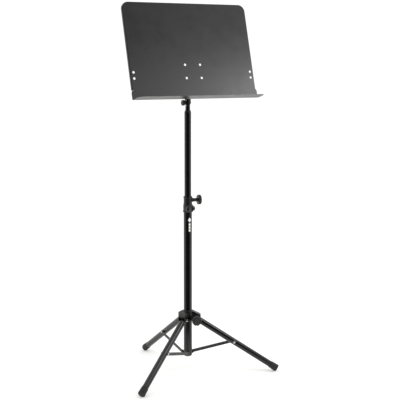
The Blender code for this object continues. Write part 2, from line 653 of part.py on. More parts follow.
def clamp():
    """Collar at the top of the outer tube, its screws, pad and height knob."""
    low = CLAMP_BOTTOM
    wide = OUTER_RADIUS
    slim = UPPER_RADIUS
    profile = [(wide + 0.0014, low), (wide + 0.0026, low + 0.0012), (wide + 0.0030, low + 0.0034),
               (wide + 0.0028, low + 0.0054), (wide + 0.0018, low + 0.0066),
               (wide + 0.0018, low + 0.0240), (wide + 0.0010, low + 0.0300),
               (slim + 0.0031, low + 0.0340), (slim + 0.0029, low + 0.0520),
               (slim + 0.0040, low + 0.0535), (slim + 0.0043, low + 0.0555),
               (slim + 0.0037, CLAMP_TOP)]
    body = solid("clamp_collar", turned(profile, COLLAR_ROUND), NYLON)
    adds = [tapered_boss(turn, CLAMP_BOSS_HEIGHT) for turn in CLAMP_BOSS_TURNS]
    stub = [(0.0078, slim - 0.0003), (0.0078, slim + 0.0062), (0.0068, slim + 0.0076),
            (0.0066, slim + 0.0084)]
    frame = along(CLAMP_KNOB_TURN, CLAMP_KNOB_HEIGHT)
    adds.append(solid("stub", turned(stub, 20), NYLON, frame))
    joined(body, adds, "UNION")
    cuts = [drill(SCREW_HOLE, slim / 2, slim + 0.0180, frame),
            solid("cut", turned([(wide + GAP, low - 0.01), (wide + GAP, OUTER_TOP + GAP)],
                                BORE_ROUND), NYLON),
            solid("cut", turned([(slim + GAP, OUTER_TOP - 0.01), (slim + GAP, CLAMP_TOP + 0.01)],
                                BORE_ROUND), NYLON)]
    floor = wide + 0.0057       # bottom of the two screw holes
    for turn in CLAMP_BOSS_TURNS:
        cuts.append(drill(SCREW_HOLE, floor, floor + 0.0095, along(turn, CLAMP_BOSS_HEIGHT)))
    joined(body, cuts, "DIFFERENCE")
    for number, turn in enumerate(CLAMP_BOSS_TURNS):
        base = floor + GAP
        top = base + 0.0044
        screw = [(SCREW_RADIUS, base), (SCREW_RADIUS, top - 0.0004),
                 (SCREW_RADIUS - 0.0004, top), (0.0014, top), (0.0012, top - 0.0016)]
        solid("clamp_screw_%d" % (number + 1), turned(screw, SMALL_ROUND), ZINC,
              along(turn, CLAMP_BOSS_HEIGHT))
    pad = pressure_pad(slim)
    solid("clamp_pad", turned(pad, SMALL_ROUND), BRASS, frame)
    finger_knob("height_knob", CLAMP_KNOB_TURN, CLAMP_KNOB_HEIGHT, CLAMP_KNOB_REACH,
                pad[-1][1] + GAP)


# ================================================================ tripod
def arm_outline():
    """Side view of one hub arm: (out, up) points."""
    root = HUB_WALL_RADIUS - 0.0030
    low = HUB_BOTTOM + 0.001
    return [(root, low), (HUB_WALL_RADIUS + 0.0020, low),
            (ARM_REACH - 0.003, ARM_END_BOTTOM), (ARM_REACH, ARM_END_BOTTOM + 0.003),
            (ARM_REACH, ARM_END_TOP - 0.0015), (ARM_REACH - 0.0015, ARM_END_TOP),
            (HUB_WALL_RADIUS + 0.0010, ARM_ROOT_TOP), (root, ARM_ROOT_TOP)]


def slot_outline():
    """Side view of the slot under an arm's roof."""
    inner = HUB_WALL_RADIUS + 0.0013
    rise = (ARM_ROOT_TOP - ARM_END_TOP) / (ARM_REACH - HUB_WALL_RADIUS - 0.0010)
    far = ARM_REACH + 0.01
    return [(inner, HUB_BOTTOM - 0.01), (far, HUB_BOTTOM - 0.01),
            (far, ARM_END_TOP - ARM_ROOF - rise * 0.01),
            (inner, ARM_END_TOP - ARM_ROOF + rise * (ARM_REACH - inner))]


def hub():
    """Sliding hub: a sleeve on the mast with three roofed arms and a knob boss."""
    wall = HUB_WALL_RADIUS
    profile = [(wall - 0.0010, HUB_BOTTOM), (wall, HUB_BOTTOM + 0.0010),
               (wall, HUB_TOP - 0.0036), (wall - 0.0010, HUB_TOP - 0.0012),
               (wall - 0.0026, HUB_TOP)]
    body = solid("hub", turned(profile, COLLAR_ROUND), PAINT, None, (0, 0, HUB_PIVOT_HEIGHT))
    parts = []
    for turn in LEG_TURNS.values():
        frame = across(turn + TRIPOD_TURN, 0.0, 0.0)
        parts.append(solid("arm", prism(arm_outline(), -ARM_HALF_WIDTH, ARM_HALF_WIDTH),
                           PAINT, frame))
    boss_end = HUB_KNOB_REACH - KNOB_NECK - GAP
    boss = [(0.0085, OUTER_RADIUS - 0.0028), (0.0085, boss_end - 0.0010), (0.0075, boss_end)]
    frame = along(HUB_KNOB_TURN, HUB_KNOB_HEIGHT)
    parts.append(solid("boss", turned(boss, 20), PAINT, frame))
    joined(body, parts, "UNION")
    cuts = []
    for turn in LEG_TURNS.values():
        frame_leg = across(turn + TRIPOD_TURN, 0.0, 0.0)
        cuts.append(solid("slot", prism(slot_outline(), -ARM_SLOT, ARM_SLOT), PAINT, frame_leg))
        frame_pin = across(turn + TRIPOD_TURN, HUB_PIVOT_RADIUS, HUB_PIVOT_HEIGHT)
        cuts.append(drill(PIN_HOLE, -ARM_HALF_WIDTH - 0.003, ARM_HALF_WIDTH + 0.003, frame_pin))
    bore = OUTER_RADIUS + GAP
    cuts.append(solid("cut", turned([(bore, HUB_BOTTOM - 0.01), (bore, HUB_TOP + 0.01)],
                                    BORE_ROUND), PAINT))
    cuts.append(drill(SCREW_HOLE, OUTER_RADIUS / 2, HUB_KNOB_REACH, frame))
    joined(body, cuts, "DIFFERENCE")
    pad = pressure_pad(OUTER_RADIUS)
    solid("hub_pad", turned(pad, SMALL_ROUND), BRASS, frame, (0, 0, HUB_PIVOT_HEIGHT))
    finger_knob("hub_knob", HUB_KNOB_TURN, HUB_KNOB_HEIGHT, HUB_KNOB_REACH, pad[-1][1] + GAP)


def leg(name, turn):
    """One leg: tube, rounded top end, pin, rubber foot and the rivet for its brace."""
    turn = turn + TRIPOD_TURN
    frame = down_leg(turn)
    outward, sideways = leg_directions(turn)
    pivot = outward * HUB_PIVOT_RADIUS + Vector((0, 0, HUB_PIVOT_HEIGHT))
    radius = LEG_RADIUS
    bore = radius - WALL
    start = 0.0050
    tube = solid("leg_" + name, turned_ring(sleeve(radius, bore, start, LEG_LENGTH - 0.004)),
                 PAINT, frame, pivot)
    rivet_along = BRACE_SHARE * LEG_LENGTH
    side = Matrix.Translation((0, 0, rivet_along)) @ axes((0, 0, 1), (1, 0, 0), (0, 1, 0))
    through = radius + 0.005
    joined(tube, [drill(RIVET_HOLE, -through, through, frame @ side)], "DIFFERENCE")

    spigot = bore - GAP
    dome = [(radius * sin(a), -radius * cos(a)) for a in
            [radians(d) for d in (12, 32, 52, 72, 90)]]
    end = dome + [(radius, start - GAP), (spigot, start - GAP), (spigot, 0.022)]
    top = solid("leg_end_" + name, turned(end), NYLON, frame, pivot)
    pin_side = axes((0, 0, 1), (1, 0, 0), (0, 1, 0))
    joined(top, [drill(PIN_HOLE, -through, through, frame @ pin_side)], "DIFFERENCE")
    face = ARM_HALF_WIDTH + GAP
    stem = PIN_RADIUS
    pin = [(stem, -face - 0.0018), (stem + 0.0016, -face - 0.0012), (stem + 0.0020, -face),
           (stem, -face), (stem, face), (stem + 0.0020, face), (stem + 0.0016, face + 0.0012),
           (stem, face + 0.0018)]
    solid("leg_pin_" + name, turned(pin, SMALL_ROUND), ZINC,
          across(turn, HUB_PIVOT_RADIUS, HUB_PIVOT_HEIGHT), pivot)

    collar_out = BRACE_OFFSET - GAP
    stem = RIVET_RADIUS
    out = radius + GAP
    rivet = [(stem - 0.0011, -out - 0.0022), (stem + 0.0009, -out - 0.0017),
             (stem + 0.0020, -out - 0.0007), (stem + 0.0022, -out), (stem, -out), (stem, out),
             (stem + 0.0029, out), (stem + 0.0029, collar_out)]
    solid("leg_rivet_" + name, turned(rivet, SMALL_ROUND), ZINC, frame @ side, pivot)

    inner = LEG_LENGTH - FOOT_LENGTH
    fit = radius + GAP
    floor = LEG_LENGTH - 0.0037
    cup = [(fit, floor), (fit, inner), (fit + 0.0008, inner), (fit + 0.0012, inner + 0.0008),
           (FOOT_RADIUS - 0.0002, LEG_LENGTH - 0.006), (FOOT_RADIUS, LEG_LENGTH - 0.004),
           (FOOT_RADIUS, LEG_LENGTH - 0.0008), (FOOT_RADIUS - 0.0008, LEG_LENGTH)]
    foot = solid("foot_" + name, turned(cup), RUBBER, frame, pivot)
    flatten(foot)


def flatten(piece):
    """Cut a foot off level with the floor."""
    work = bmesh.new()
    work.from_mesh(piece.data)
    floor = Vector((0, 0, -piece.location.z))
    everything = work.verts[:] + work.edges[:] + work.faces[:]
    bmesh.ops.bisect_plane(work, geom=everything, plane_co=floor, plane_no=(0, 0, 1),
                           dist=1e-6, clear_inner=True)
    edge = [e for e in work.edges if len(e.link_faces) == 1]
    bmesh.ops.contextual_create(work, geom=edge)
    bmesh.ops.recalc_face_normals(work, faces=work.faces)
    work.to_mesh(piece.data)
    work.free()
    piece.data.shade_smooth()
    piece.data.set_sharp_from_angle(angle=radians(35.0))


def brace(name, turn):
    """One flat brace with its inner rivet and the rivet head at its outer end."""
    turn = turn + TRIPOD_TURN
    outward, sideways = leg_directions(turn)
    pivot = outward * BRACE_PIVOT_RADIUS + Vector((0, 0, BRACE_PIVOT_HEIGHT))
    rise = pi / 2 - BRACE_SLOPE
    half = BRACE_WIDTH / 2
    shape = arc((0.0, 0.0), half, pi / 2, 3 * pi / 2, 10)
    shape += arc((BRACE_LENGTH, 0.0), half, -pi / 2, pi / 2, 10)
    frame = across(turn, BRACE_PIVOT_RADIUS, BRACE_PIVOT_HEIGHT) @ Matrix.Rotation(rise, 4, "Z")
    bar = solid("brace_" + name, prism(shape, BRACE_OFFSET, BRACE_OFFSET + BRACE_THICK), PAINT,
                frame, pivot)
    cuts = []
    for place in (0.0, BRACE_LENGTH):
        cuts.append(drill(RIVET_HOLE, BRACE_OFFSET - 0.002, BRACE_OFFSET + BRACE_THICK + 0.002,
                          frame @ Matrix.Translation((place, 0, 0))))
    joined(bar, cuts, "DIFFERENCE")
    face = BRACE_OFFSET + BRACE_THICK + GAP
    back = BRACE_OFFSET - 3 * GAP - LUG
    stem = RIVET_RADIUS
    pin = [(stem - 0.0001, back - 0.0012), (stem + 0.0015, back - 0.0006),
           (stem + 0.0015, back), (stem, back), (stem, face), (stem + 0.0018, face),
           (stem + 0.0016, face + 0.0010), (stem + 0.0003, face + 0.0017)]
    solid("brace_pin_" + name, turned(pin, SMALL_ROUND), ZINC, frame, pivot)
    head = [(stem - 0.0001, BRACE_OFFSET + 0.0001), (stem, BRACE_OFFSET + 0.0002),
            (stem, face), (stem + 0.0022, face), (stem + 0.0020, face + 0.0008),
            (stem + 0.0009, face + 0.0018), (stem - 0.0011, face + 0.0022)]
    solid("brace_rivet_" + name, turned(head, SMALL_ROUND), ZINC,
          frame @ Matrix.Translation((BRACE_LENGTH, 0, 0)), pivot)


def stand_on_origin():
    """Move the whole stand so its bounding box is centred over the origin."""
    low = [1e9, 1e9, 1e9]
    high = [-1e9, -1e9, -1e9]
    for item in bpy.data.objects:
        for vertex in item.data.vertices:
            at = item.location + vertex.co
            low = [min(low[a], at[a]) for a in range(3)]
            high = [max(high[a], at[a]) for a in range(3)]
    move = Vector((-(low[0] + high[0]) / 2, -(low[1] + high[1]) / 2, -low[2]))
    for item in bpy.data.objects:
        item.location = item.location + move
    print("mast axis at", round(move.x, 5), round(move.y, 5), round(move.z, 6))


def main():
    for item in list(bpy.data.objects):
        bpy.data.objects.remove(item)
    desk_plate()
    desk_bracket()
    desk_nuts()
    tilt_joint()
    desk_post()
    mast()
    bottom_plug()
    clamp()
    hub()
    for name, turn in LEG_TURNS.items():
        leg(name, turn)
        brace(name, turn)
    stand_on_origin()
    bpy.context.view_layer.update()


main()
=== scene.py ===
"""Looks of the orchestral music stand: smooth pieces, finishes, pale floor, soft studio light.

Metres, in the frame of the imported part: +Z up, the desk faces -Y. Every new piece is worked
out as whole arrays of points, in a local frame that the frame's joints and mounts give.
"""
import bmesh
import bpy
import json
import numpy as np
from math import atan2, cos, hypot, pi, radians, sin
from mathutils import Matrix, Vector
from mathutils.geometry import tessellate_polygon


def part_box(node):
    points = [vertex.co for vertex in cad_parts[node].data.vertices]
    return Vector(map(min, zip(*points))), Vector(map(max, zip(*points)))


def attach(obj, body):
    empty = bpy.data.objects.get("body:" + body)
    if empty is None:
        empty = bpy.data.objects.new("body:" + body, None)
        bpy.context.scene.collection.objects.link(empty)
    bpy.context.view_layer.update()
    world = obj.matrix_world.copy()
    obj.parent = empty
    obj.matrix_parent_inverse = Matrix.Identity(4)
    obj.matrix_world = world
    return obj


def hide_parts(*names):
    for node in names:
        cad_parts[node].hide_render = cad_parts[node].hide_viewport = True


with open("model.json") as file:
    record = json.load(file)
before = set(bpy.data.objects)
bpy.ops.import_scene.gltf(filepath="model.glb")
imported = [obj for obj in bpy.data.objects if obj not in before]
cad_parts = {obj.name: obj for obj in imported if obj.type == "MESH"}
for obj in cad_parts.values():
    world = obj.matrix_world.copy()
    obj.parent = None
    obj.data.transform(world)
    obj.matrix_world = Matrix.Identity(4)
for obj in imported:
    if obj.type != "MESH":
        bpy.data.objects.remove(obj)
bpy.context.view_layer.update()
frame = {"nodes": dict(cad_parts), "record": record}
record = frame["record"]
joints = {joint["name"]: joint for joint in record["behaviour"]["joints"]}
mounts = {mount["name"]: mount for mount in record["mounts"]}

# ---------------------------------------------------------------- sizes
GAP = 0.0003
TURNS = 64                      # facets around a tube
SMALL_TURNS = 32                # facets around bolts and rivets
EDGE_STEPS = 4                  # points round a rounded edge
CREASE = radians(32.0)          # edges sharper than this shade sharp

DESK_WIDTH = 0.500
SHELF_WIDTH = DESK_WIDTH + 0.008
DESK_HEIGHT = 0.354
DESK_CORNER = 0.026
SHEET = 0.0012
FLANGE_DEPTH = 0.010
FLANGE_BEND = 0.0025
FLANGE_FOOT = 0.036
FLANGE_STEP = 0.009
FLANGE_RELIEF = 0.0010
SHELF_DEPTH = 0.056
SHELF_CORNER = 0.016
SHELF_BEND = 0.006
SHELF_MARK = 0.030              # the shelf's mount stands this far out from the fold
HOLE_RADIUS = 0.0044
HOLE_LIP = 0.0003               # edge of a punched hole, rounded by the paint
SUPPORT = 0.0012                # flat strip kept beside every bend
MIDDLE_HOLES = [(-0.0305, 0.0775), (0.0305, 0.0775), (-0.0305, 0.126), (0.0305, 0.126)]
SIDE_HOLE_OUT = DESK_WIDTH / 2 - 0.0135
SIDE_HOLES = [(-SIDE_HOLE_OUT, 0.0776), (-SIDE_HOLE_OUT, 0.0994),
              (SIDE_HOLE_OUT, 0.0776), (SIDE_HOLE_OUT, 0.0994)]

BRACKET_HALF_WIDTH = 0.0215
BRACKET_PLATE = 0.0022
BRACKET_LOW = 0.034
BRACKET_HIGH = 0.132
BRACKET_CUT = 0.007
CHEEK = 0.0015
CHEEK_RADIUS = 0.0075
CHEEK_HIGH = 0.118
CHEEK_BACK_RISE = 0.0357        # from the tilt bolt up to the cheek's back corner
CHEEK_FRONT_RISE = 0.0252
NUT_PLACES = [(-0.0145, 0.046), (0.0145, 0.046), (-0.0145, 0.108), (0.0145, 0.108)]
NUT_FLANGE = 0.0055
NUT_CORNER = 0.0046             # across the hexagon's corners, halved
STUD_RADIUS = 0.0022
BOLT_RADIUS = 0.0030
TILT_KNOB_RADIUS = 0.0104
TILT_KNOB_NECK = 0.0044
TILT_KNOB_THICK = 0.0092
WASHER = 0.0014

WALL = 0.0013                   # of every tube
ROLLED = 0.0008                 # rounding of turned and moulded edges
KNOB_RADIUS = 0.0183
KNOB_LOBES = 9
KNOB_NECK = 0.0168
KNOB_SCREW = 0.0030
HEIGHT_KNOB_OUT = 0.0256        # the knobs' heads stand this far out from their tubes
HUB_KNOB_OUT = 0.0437
PAD = 0.0027                    # the knobs' screws stop this far out, at their pads
LEG_RADIUS = 0.0115
FOOT_RADIUS = LEG_RADIUS + 0.0020
FOOT_LENGTH = 0.030
FOOT_REACH = 0.3356
FOOT_END_HEIGHT = 0.0102
BRACE_SHARE = 0.4637            # the rivet's place along the leg
BRACE_WIDTH = 0.0115
BRACE_THICK = 0.0024
BRACE_OFFSET = LEG_RADIUS + 0.0016
PIN_RADIUS = 0.0030
RIVET_RADIUS = 0.0027
LUG = 0.0026

# The mark's bars as (low, high, half width), then its diamond, above MARK_HEIGHT.
MARK_TURN = radians(-92.0)
MARK_HEIGHT = 0.5370
MARK_BARS = [(0.0000, 0.0085, 0.0034), (0.0110, 0.0195, 0.0034), (0.0220, 0.0305, 0.0034)]
DIAMOND_MIDDLE = 0.0430
DIAMOND_HALF = (0.0062, 0.0092)

FLOOR_REACH = 14.0
FLOOR_GLOW = 0.12               # a lit sweep: keeps the floor white out to the horizon
ROOM_LIGHT = 1.06
CARD_RADIUS = 1.30
CARD_FOOT_RADIUS = 0.50
CARD_SHOULDER = 1.00            # height where the card starts to close overhead
CARD_CLEAR = radians(82.0)      # it is gone this far round from the camera
CARD_SOLID = radians(28.0)


# ---------------------------------------------------------------- places, from the frame
def at_joint(name):
    """A joint's place."""
    return np.array(joints[name]["pos_m"])


def reach_of(point):
    """A point's distance from the mast's axis."""
    return hypot(*(point[:2] - AXIS))


AXIS = at_joint("desk_swivel")[:2]
TILT = at_joint("desk_tilt")
OUTER_LOW, OUTER_HIGH = (np.array(corner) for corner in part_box("outer_tube"))
UPPER_LOW, UPPER_HIGH = (np.array(corner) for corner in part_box("upper_tube"))
POST_LOW, POST_HIGH = (np.array(corner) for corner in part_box("desk_post"))
COLLAR_LOW, COLLAR_HIGH = (np.array(corner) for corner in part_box("clamp_collar"))
HUB_LOW, HUB_HIGH = (np.array(corner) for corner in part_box("hub"))
PLUG_LOW, PLUG_HIGH = (np.array(corner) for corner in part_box("bottom_plug"))
OUTER_RADIUS = (OUTER_HIGH[0] - OUTER_LOW[0]) / 2
UPPER_RADIUS = (UPPER_HIGH[0] - UPPER_LOW[0]) / 2
POST_RADIUS = (POST_HIGH[0] - POST_LOW[0]) / 2
CHEEK_INSIDE = POST_RADIUS - 0.0017
SIDES = ("right", "back", "left")
CLAMP_BOSS_TURNS = [radians(-114.2), radians(-24.2)]
CLAMP_BOSS_HEIGHT = OUTER_HIGH[2] - 0.0125
PIVOT_REACH = reach_of(at_joint("leg_right_fold"))
PIVOT_HEIGHT = at_joint("leg_right_fold")[2]
LEG_SLOPE = atan2(FOOT_REACH - PIVOT_REACH, PIVOT_HEIGHT - FOOT_END_HEIGHT)
LEG_LENGTH = hypot(FOOT_REACH - PIVOT_REACH, PIVOT_HEIGHT - FOOT_END_HEIGHT)
RIVET_ALONG = BRACE_SHARE * LEG_LENGTH

# Camera: eye high in front of the stand and to its left, a long lens, tipped down a little.
CAMERA_DISTANCE = 3.668
CAMERA_TURN = radians(-28.175)
CAMERA_HEIGHT = 1.1673
CAMERA_TIP = radians(7.988)
CAMERA_SWING = radians(-0.701)
CAMERA_ROLL = radians(0.059)
CAMERA_LENS = 90.6
CAMERA_SENSOR = 36.0
CAMERA_AT = np.array((AXIS[0] + CAMERA_DISTANCE * sin(CAMERA_TURN),
                      AXIS[1] - CAMERA_DISTANCE * cos(CAMERA_TURN), CAMERA_HEIGHT))


# ================================================================ mesh helpers
def frame_of(first, second, third, origin):
    """4x4 array whose columns are three unit directions and an origin."""
    made = np.eye(4)
    for column, part in enumerate((first, second, third, origin)):
        made[:3, column] = part
    return made


def upright():
    """Frame on the mast's axis at the floor, Z up."""
    return frame_of((1, 0, 0), (0, 1, 0), (0, 0, 1), (AXIS[0], AXIS[1], 0.0))


def outward_frame(turn, height):
    """Frame on the mast's axis whose Z runs out at this turn, X sideways and Y up."""
    return frame_of((-sin(turn), cos(turn), 0), (0, 0, 1), (cos(turn), sin(turn), 0),
                    (AXIS[0], AXIS[1], height))


def knob_frame(joint):
    """Frame on the mast's axis whose Z runs out along a knob's screw."""
    axis = joints[joint]["axis"]
    return outward_frame(atan2(axis[1], axis[0]), at_joint(joint)[2])


def place(points, where):
    """Local points, as an array of any shape ending in 3, moved into the row's frame."""
    return points @ where[:3, :3].T + where[:3, 3]


def quads(rows, columns, wrap_rows, wrap_columns, first=0):
    """Faces of a grid of rows x columns points, closed round either way if asked."""
    r = np.arange(rows if wrap_rows else rows - 1)[:, None]
    c = np.arange(columns if wrap_columns else columns - 1)[None, :]
    here = r * columns + c
    right = r * columns + (c + 1) % columns
    above = (r + 1) % rows * columns + c
    across = (r + 1) % rows * columns + (c + 1) % columns
    return (np.stack([here, right, across, above], -1).reshape(-1, 4) + first).tolist()


def tube_shell(grid):
    """Closed shell from a grid whose rows are loops: quads between them, a fan at each end."""
    rows, columns = grid.shape[:2]
    points = grid.reshape(-1, 3).tolist()
    faces = quads(rows, columns, False, True)
    for row in (0, rows - 1):
        middle = len(points)
        points.append(grid[row].mean(0).tolist())
        loop = row * columns + np.arange(columns)
        faces += np.stack([loop, np.roll(loop, -1), np.full(columns, middle)], -1).tolist()
    return points, faces


def ring_shell(grid):
    """Closed shell from a grid that wraps both ways, like a ring."""
    rows, columns = grid.shape[:2]
    return grid.reshape(-1, 3).tolist(), quads(rows, columns, True, True)


def rounded(outline, radius, closed=False):
    """Outline of 2-D points with each corner cut by a quadratic curve.

    The curve starts and ends at most the radius from the corner along its two sides, and a
    point is kept a little way down each side so a flat side shades flat.
    """
    points = [np.array(p, float) for p in outline]
    made = []
    count = len(points)
    for k, here in enumerate(points):
        if not closed and k in (0, count - 1):
            made.append(here)
            continue
        before = points[k - 1] - here
        after = points[(k + 1) % count] - here
        reach = min(radius, 0.4 * np.hypot(*before), 0.4 * np.hypot(*after))
        start = here + before / np.hypot(*before) * reach
        end = here + after / np.hypot(*after) * reach
        made.append(here + before / np.hypot(*before) * reach * 1.2)
        for t in np.linspace(0.0, 1.0, EDGE_STEPS):
            made.append((1 - t) ** 2 * start + 2 * t * (1 - t) * here + t * t * end)
        made.append(here + after / np.hypot(*after) * reach * 1.2)
    return made


def revolve(profile, count=TURNS, wave=None):
    """Grid of a profile of (radius, height) carried round Z; wave may vary the radius.

    wave(angle, radius, height) gives the radius there, from three arrays of one shape.
    """
    profile = np.array(profile, float)
    angle = np.linspace(0.0, 2 * pi, count, endpoint=False)[None, :]
    radius = np.repeat(profile[:, :1], count, 1)
    height = np.repeat(profile[:, 1:], count, 1)
    if wave:
        radius = wave(angle + 0 * radius, radius, height)
    return np.stack([radius * np.cos(angle), radius * np.sin(angle), height], -1)


def turned(profile, where, edge=0.0004, count=TURNS, wave=None):
    """Solid of revolution with its corners rounded, placed."""
    return tube_shell(place(revolve(rounded(profile, edge), count, wave), where))


def turned_ring(profile, where, edge=0.0004, count=TURNS):
    """Hollow solid of revolution from a closed profile clear of the axis, placed."""
    return ring_shell(place(revolve(rounded(profile, edge, closed=True), count), where))


def sleeve(outer, inner, low, high):
    """Closed profile of a plain tube."""
    return [(inner, low), (outer, low), (outer, high), (inner, high)]


def prism(outline, low, high, where):
    """Outline of (X, Y) points pulled along Z from low to high, placed."""
    flat = np.array(outline, float)
    count = len(flat)
    both = np.concatenate([np.column_stack([flat, np.full(count, z)]) for z in (low, high)])
    faces = [list(range(count)), list(range(count, 2 * count))]
    faces += quads(2, count, False, True)
    return place(both, where).tolist(), faces


def arc(centre, radius, start, end, steps):
    """Points along an arc, both ends included."""
    angle = np.linspace(start, end, steps + 1)
    return [(centre[0] + radius * cos(a), centre[1] + radius * sin(a)) for a in angle]


def piece(name, body, finish, shells, replaced=(), bevel=0.0):
    """One object from closed shells, riding on its body and standing for its CAD nodes."""
    points = []
    faces = []
    for shell_points, shell_faces in shells:
        first = len(points)
        points += shell_points
        faces += [[index + first for index in face] for face in shell_faces]
    mesh = bpy.data.meshes.new(name)
    mesh.from_pydata(points, [], faces)
    work = bmesh.new()
    work.from_mesh(mesh)
    bmesh.ops.remove_doubles(work, verts=work.verts, dist=1e-7)
    bmesh.ops.recalc_face_normals(work, faces=work.faces)
    work.to_mesh(mesh)
    work.free()
    mesh.shade_smooth()
    mesh.set_sharp_from_angle(angle=CREASE)
    mesh.materials.append(finish)
    made = bpy.data.objects.new(name, mesh)
    bpy.context.scene.collection.objects.link(made)
    if bevel:
        edge = made.modifiers.new("edge", "BEVEL")
        edge.width = bevel
        edge.segments = 2
        edge.limit_method = "ANGLE"
        edge.angle_limit = radians(40.0)
        edge.harden_normals = True
    if replaced:
        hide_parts(*replaced)
    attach(made, body)


# ================================================================ finishes
def linear(hex_colour):
    """Linear RGBA of an sRGB hex colour."""
    parts = [int(hex_colour[k:k + 2], 16) / 255 for k in (1, 3, 5)]
    return [p / 12.92 if p <= 0.04045 else ((p + 0.055) / 1.055) ** 2.4 for p in parts] + [1.0]


def add(tree, kind, values=None, links=None, **settings):
    """Adds one node: settings are its properties, values its numbers, links its inputs."""
    made = tree.nodes.new(kind)
    for name, value in settings.items():
        setattr(made, name, value)
    for name, value in (values or {}).items():
        made.inputs[name].default_value = value
    for name, source in (links or {}).items():
        tree.links.new(source, made.inputs[name])
    return made


def per_metre(millimetres):
    """Texture scale that repeats once in this many millimetres."""
    return 1000.0 / millimetres


def speckled(name, dark, light, rough, grain_mm, patch_mm, bump_mm, **shader_values):
    """Principled finish with two colours mixed by soft patches, and a bump of fine grain.

    rough is (smoothest, roughest); the same patches move the roughness between them.
    """
    made = bpy.data.materials.new(name)
    made.use_nodes = True
    tree = made.node_tree
    shader = tree.nodes["Principled BSDF"]
    where = add(tree, "ShaderNodeTexCoord").outputs["Object"]
    patch = add(tree, "ShaderNodeTexNoise", {"Scale": per_metre(patch_mm), "Detail": 4.0,
                                             "Roughness": 0.6}, {"Vector": where})
    grain = add(tree, "ShaderNodeTexNoise", {"Scale": per_metre(grain_mm), "Detail": 2.0,
                                             "Roughness": 0.5}, {"Vector": where})
    ramp = add(tree, "ShaderNodeMapRange", {"From Min": 0.35, "From Max": 0.65},
               {"Value": patch.outputs["Fac"]})
    colour = add(tree, "ShaderNodeMix", {"A": linear(dark), "B": linear(light)},
                 {"Factor": ramp.outputs["Result"]}, data_type="RGBA")
    spread = add(tree, "ShaderNodeMapRange", {"To Min": rough[0], "To Max": rough[1]},
                 {"Value": ramp.outputs["Result"]})
    bump = add(tree, "ShaderNodeBump", {"Strength": 1.0, "Distance": bump_mm / 1000.0},
               {"Height": grain.outputs["Fac"]})
    tree.links.new(colour.outputs["Result"], shader.inputs["Base Color"])
    tree.links.new(spread.outputs["Result"], shader.inputs["Roughness"])
    tree.links.new(bump.outputs["Normal"], shader.inputs["Normal"])
    for key, value in shader_values.items():
        shader.inputs[key.replace("_", " ")].default_value = value
    return made


# Polyester powder coat, sprayed and baked: near black, semi-gloss, a faint orange peel.
DESK_COAT = speckled("powder_coated_sheet_steel", "#151515", "#191918", (0.29, 0.35),
                     1.6, 45.0, 0.010, IOR=1.5)
# The same coat on the tubes, which are a little glossier.
TUBE_COAT = speckled("powder_coated_tube", "#090909", "#0d0d0d", (0.19, 0.25),
                     1.4, 30.0, 0.006, IOR=1.5)
# Glass-filled nylon, moulded: fine spark-eroded grain gives it a satin black.
NYLON = speckled("moulded_nylon", "#0e0e0e", "#131313", (0.34, 0.44), 0.9, 12.0, 0.015,
                 IOR=1.53)
# Moulded rubber: dull, with a bloom that greys it in patches.
RUBBER = speckled("moulded_rubber", "#111111", "#1a1a1a", (0.56, 0.70), 1.1, 14.0, 0.030,
                  IOR=1.52)
# Bright zinc plate on pressed steel: a bluish grey metal, finely mottled.
ZINC = speckled("bright_zinc_plate", "#b9bcbd", "#d2d3d2", (0.22, 0.34), 0.8, 5.0, 0.010,
                Metallic=1.0)
# Zinc plate passivated black, on the pins beside the mast's foot.
BLACK_ZINC = speckled("black_passivated_zinc", "#3a3b3c", "#4a4b4b", (0.34, 0.44), 0.8, 5.0,
                      0.010, Metallic=1.0)
# Turned brass, left bare.
BRASS = speckled("turned_brass", "#b08d45", "#c7a55c", (0.25, 0.35), 0.8, 4.0, 0.006,
                 Metallic=1.0)
# White screen-printing ink, slightly uneven in cover.
INK = speckled("white_printing_ink", "#d9d9d6", "#ececea", (0.45, 0.55), 0.8, 3.0, 0.006,
               IOR=1.5)


# ================================================================ desk
FORWARD = np.array(mounts["desk_face"]["axis"])
RISE = np.array(mounts["shelf_top"]["axis"])
FOLD = np.array(mounts["shelf_top"]["pos_m"]) - SHEET * RISE - SHELF_MARK * FORWARD
DESK = frame_of((1, 0, 0), RISE, FORWARD, FOLD)


def flange_section():
    """Section across the rim as (out, deep) pairs, from the face round the bend and back.

    Two quarter circles about one centre, a sheet's thickness apart, joined by the flange.
    """
    quarter = np.linspace(0.0, pi / 2, 9)
    outer = [(-FLANGE_BEND + FLANGE_BEND * sin(a), -FLANGE_BEND + FLANGE_BEND * cos(a))
             for a in quarter]
    inside = FLANGE_BEND - SHEET
    inner = [(-FLANGE_BEND + inside * sin(a), -FLANGE_BEND + inside * cos(a))
             for a in quarter[::-1]]
    return ([(-FLANGE_BEND - SUPPORT, 0.0)] + outer
            + [(0.0, -FLANGE_BEND - SUPPORT), (0.0, -FLANGE_DEPTH), (-SHEET, -FLANGE_DEPTH),
               (-SHEET, -FLANGE_BEND - SUPPORT)]
            + inner + [(-FLANGE_BEND - SUPPORT, -SHEET)])


def rim_path():
    """Rim from the right flange's foot over both rounded corners to the left one's foot.

    Each entry is a point on the desk's outline and the unit normal out of it.
    """
    half = DESK_WIDTH / 2
    path = [((half, FLANGE_FOOT), (1.0, 0.0))]
    for side, start in ((1, 0.0), (-1, pi / 2)):
        for angle in np.linspace(start, start + pi / 2, 19):
            normal = (cos(angle), sin(angle))
            path.append(((side * (half - DESK_CORNER) + DESK_CORNER * normal[0],
                          DESK_HEIGHT - DESK_CORNER + DESK_CORNER * normal[1]), normal))
    path.append(((-half, FLANGE_FOOT), (-1.0, 0.0)))
    return path


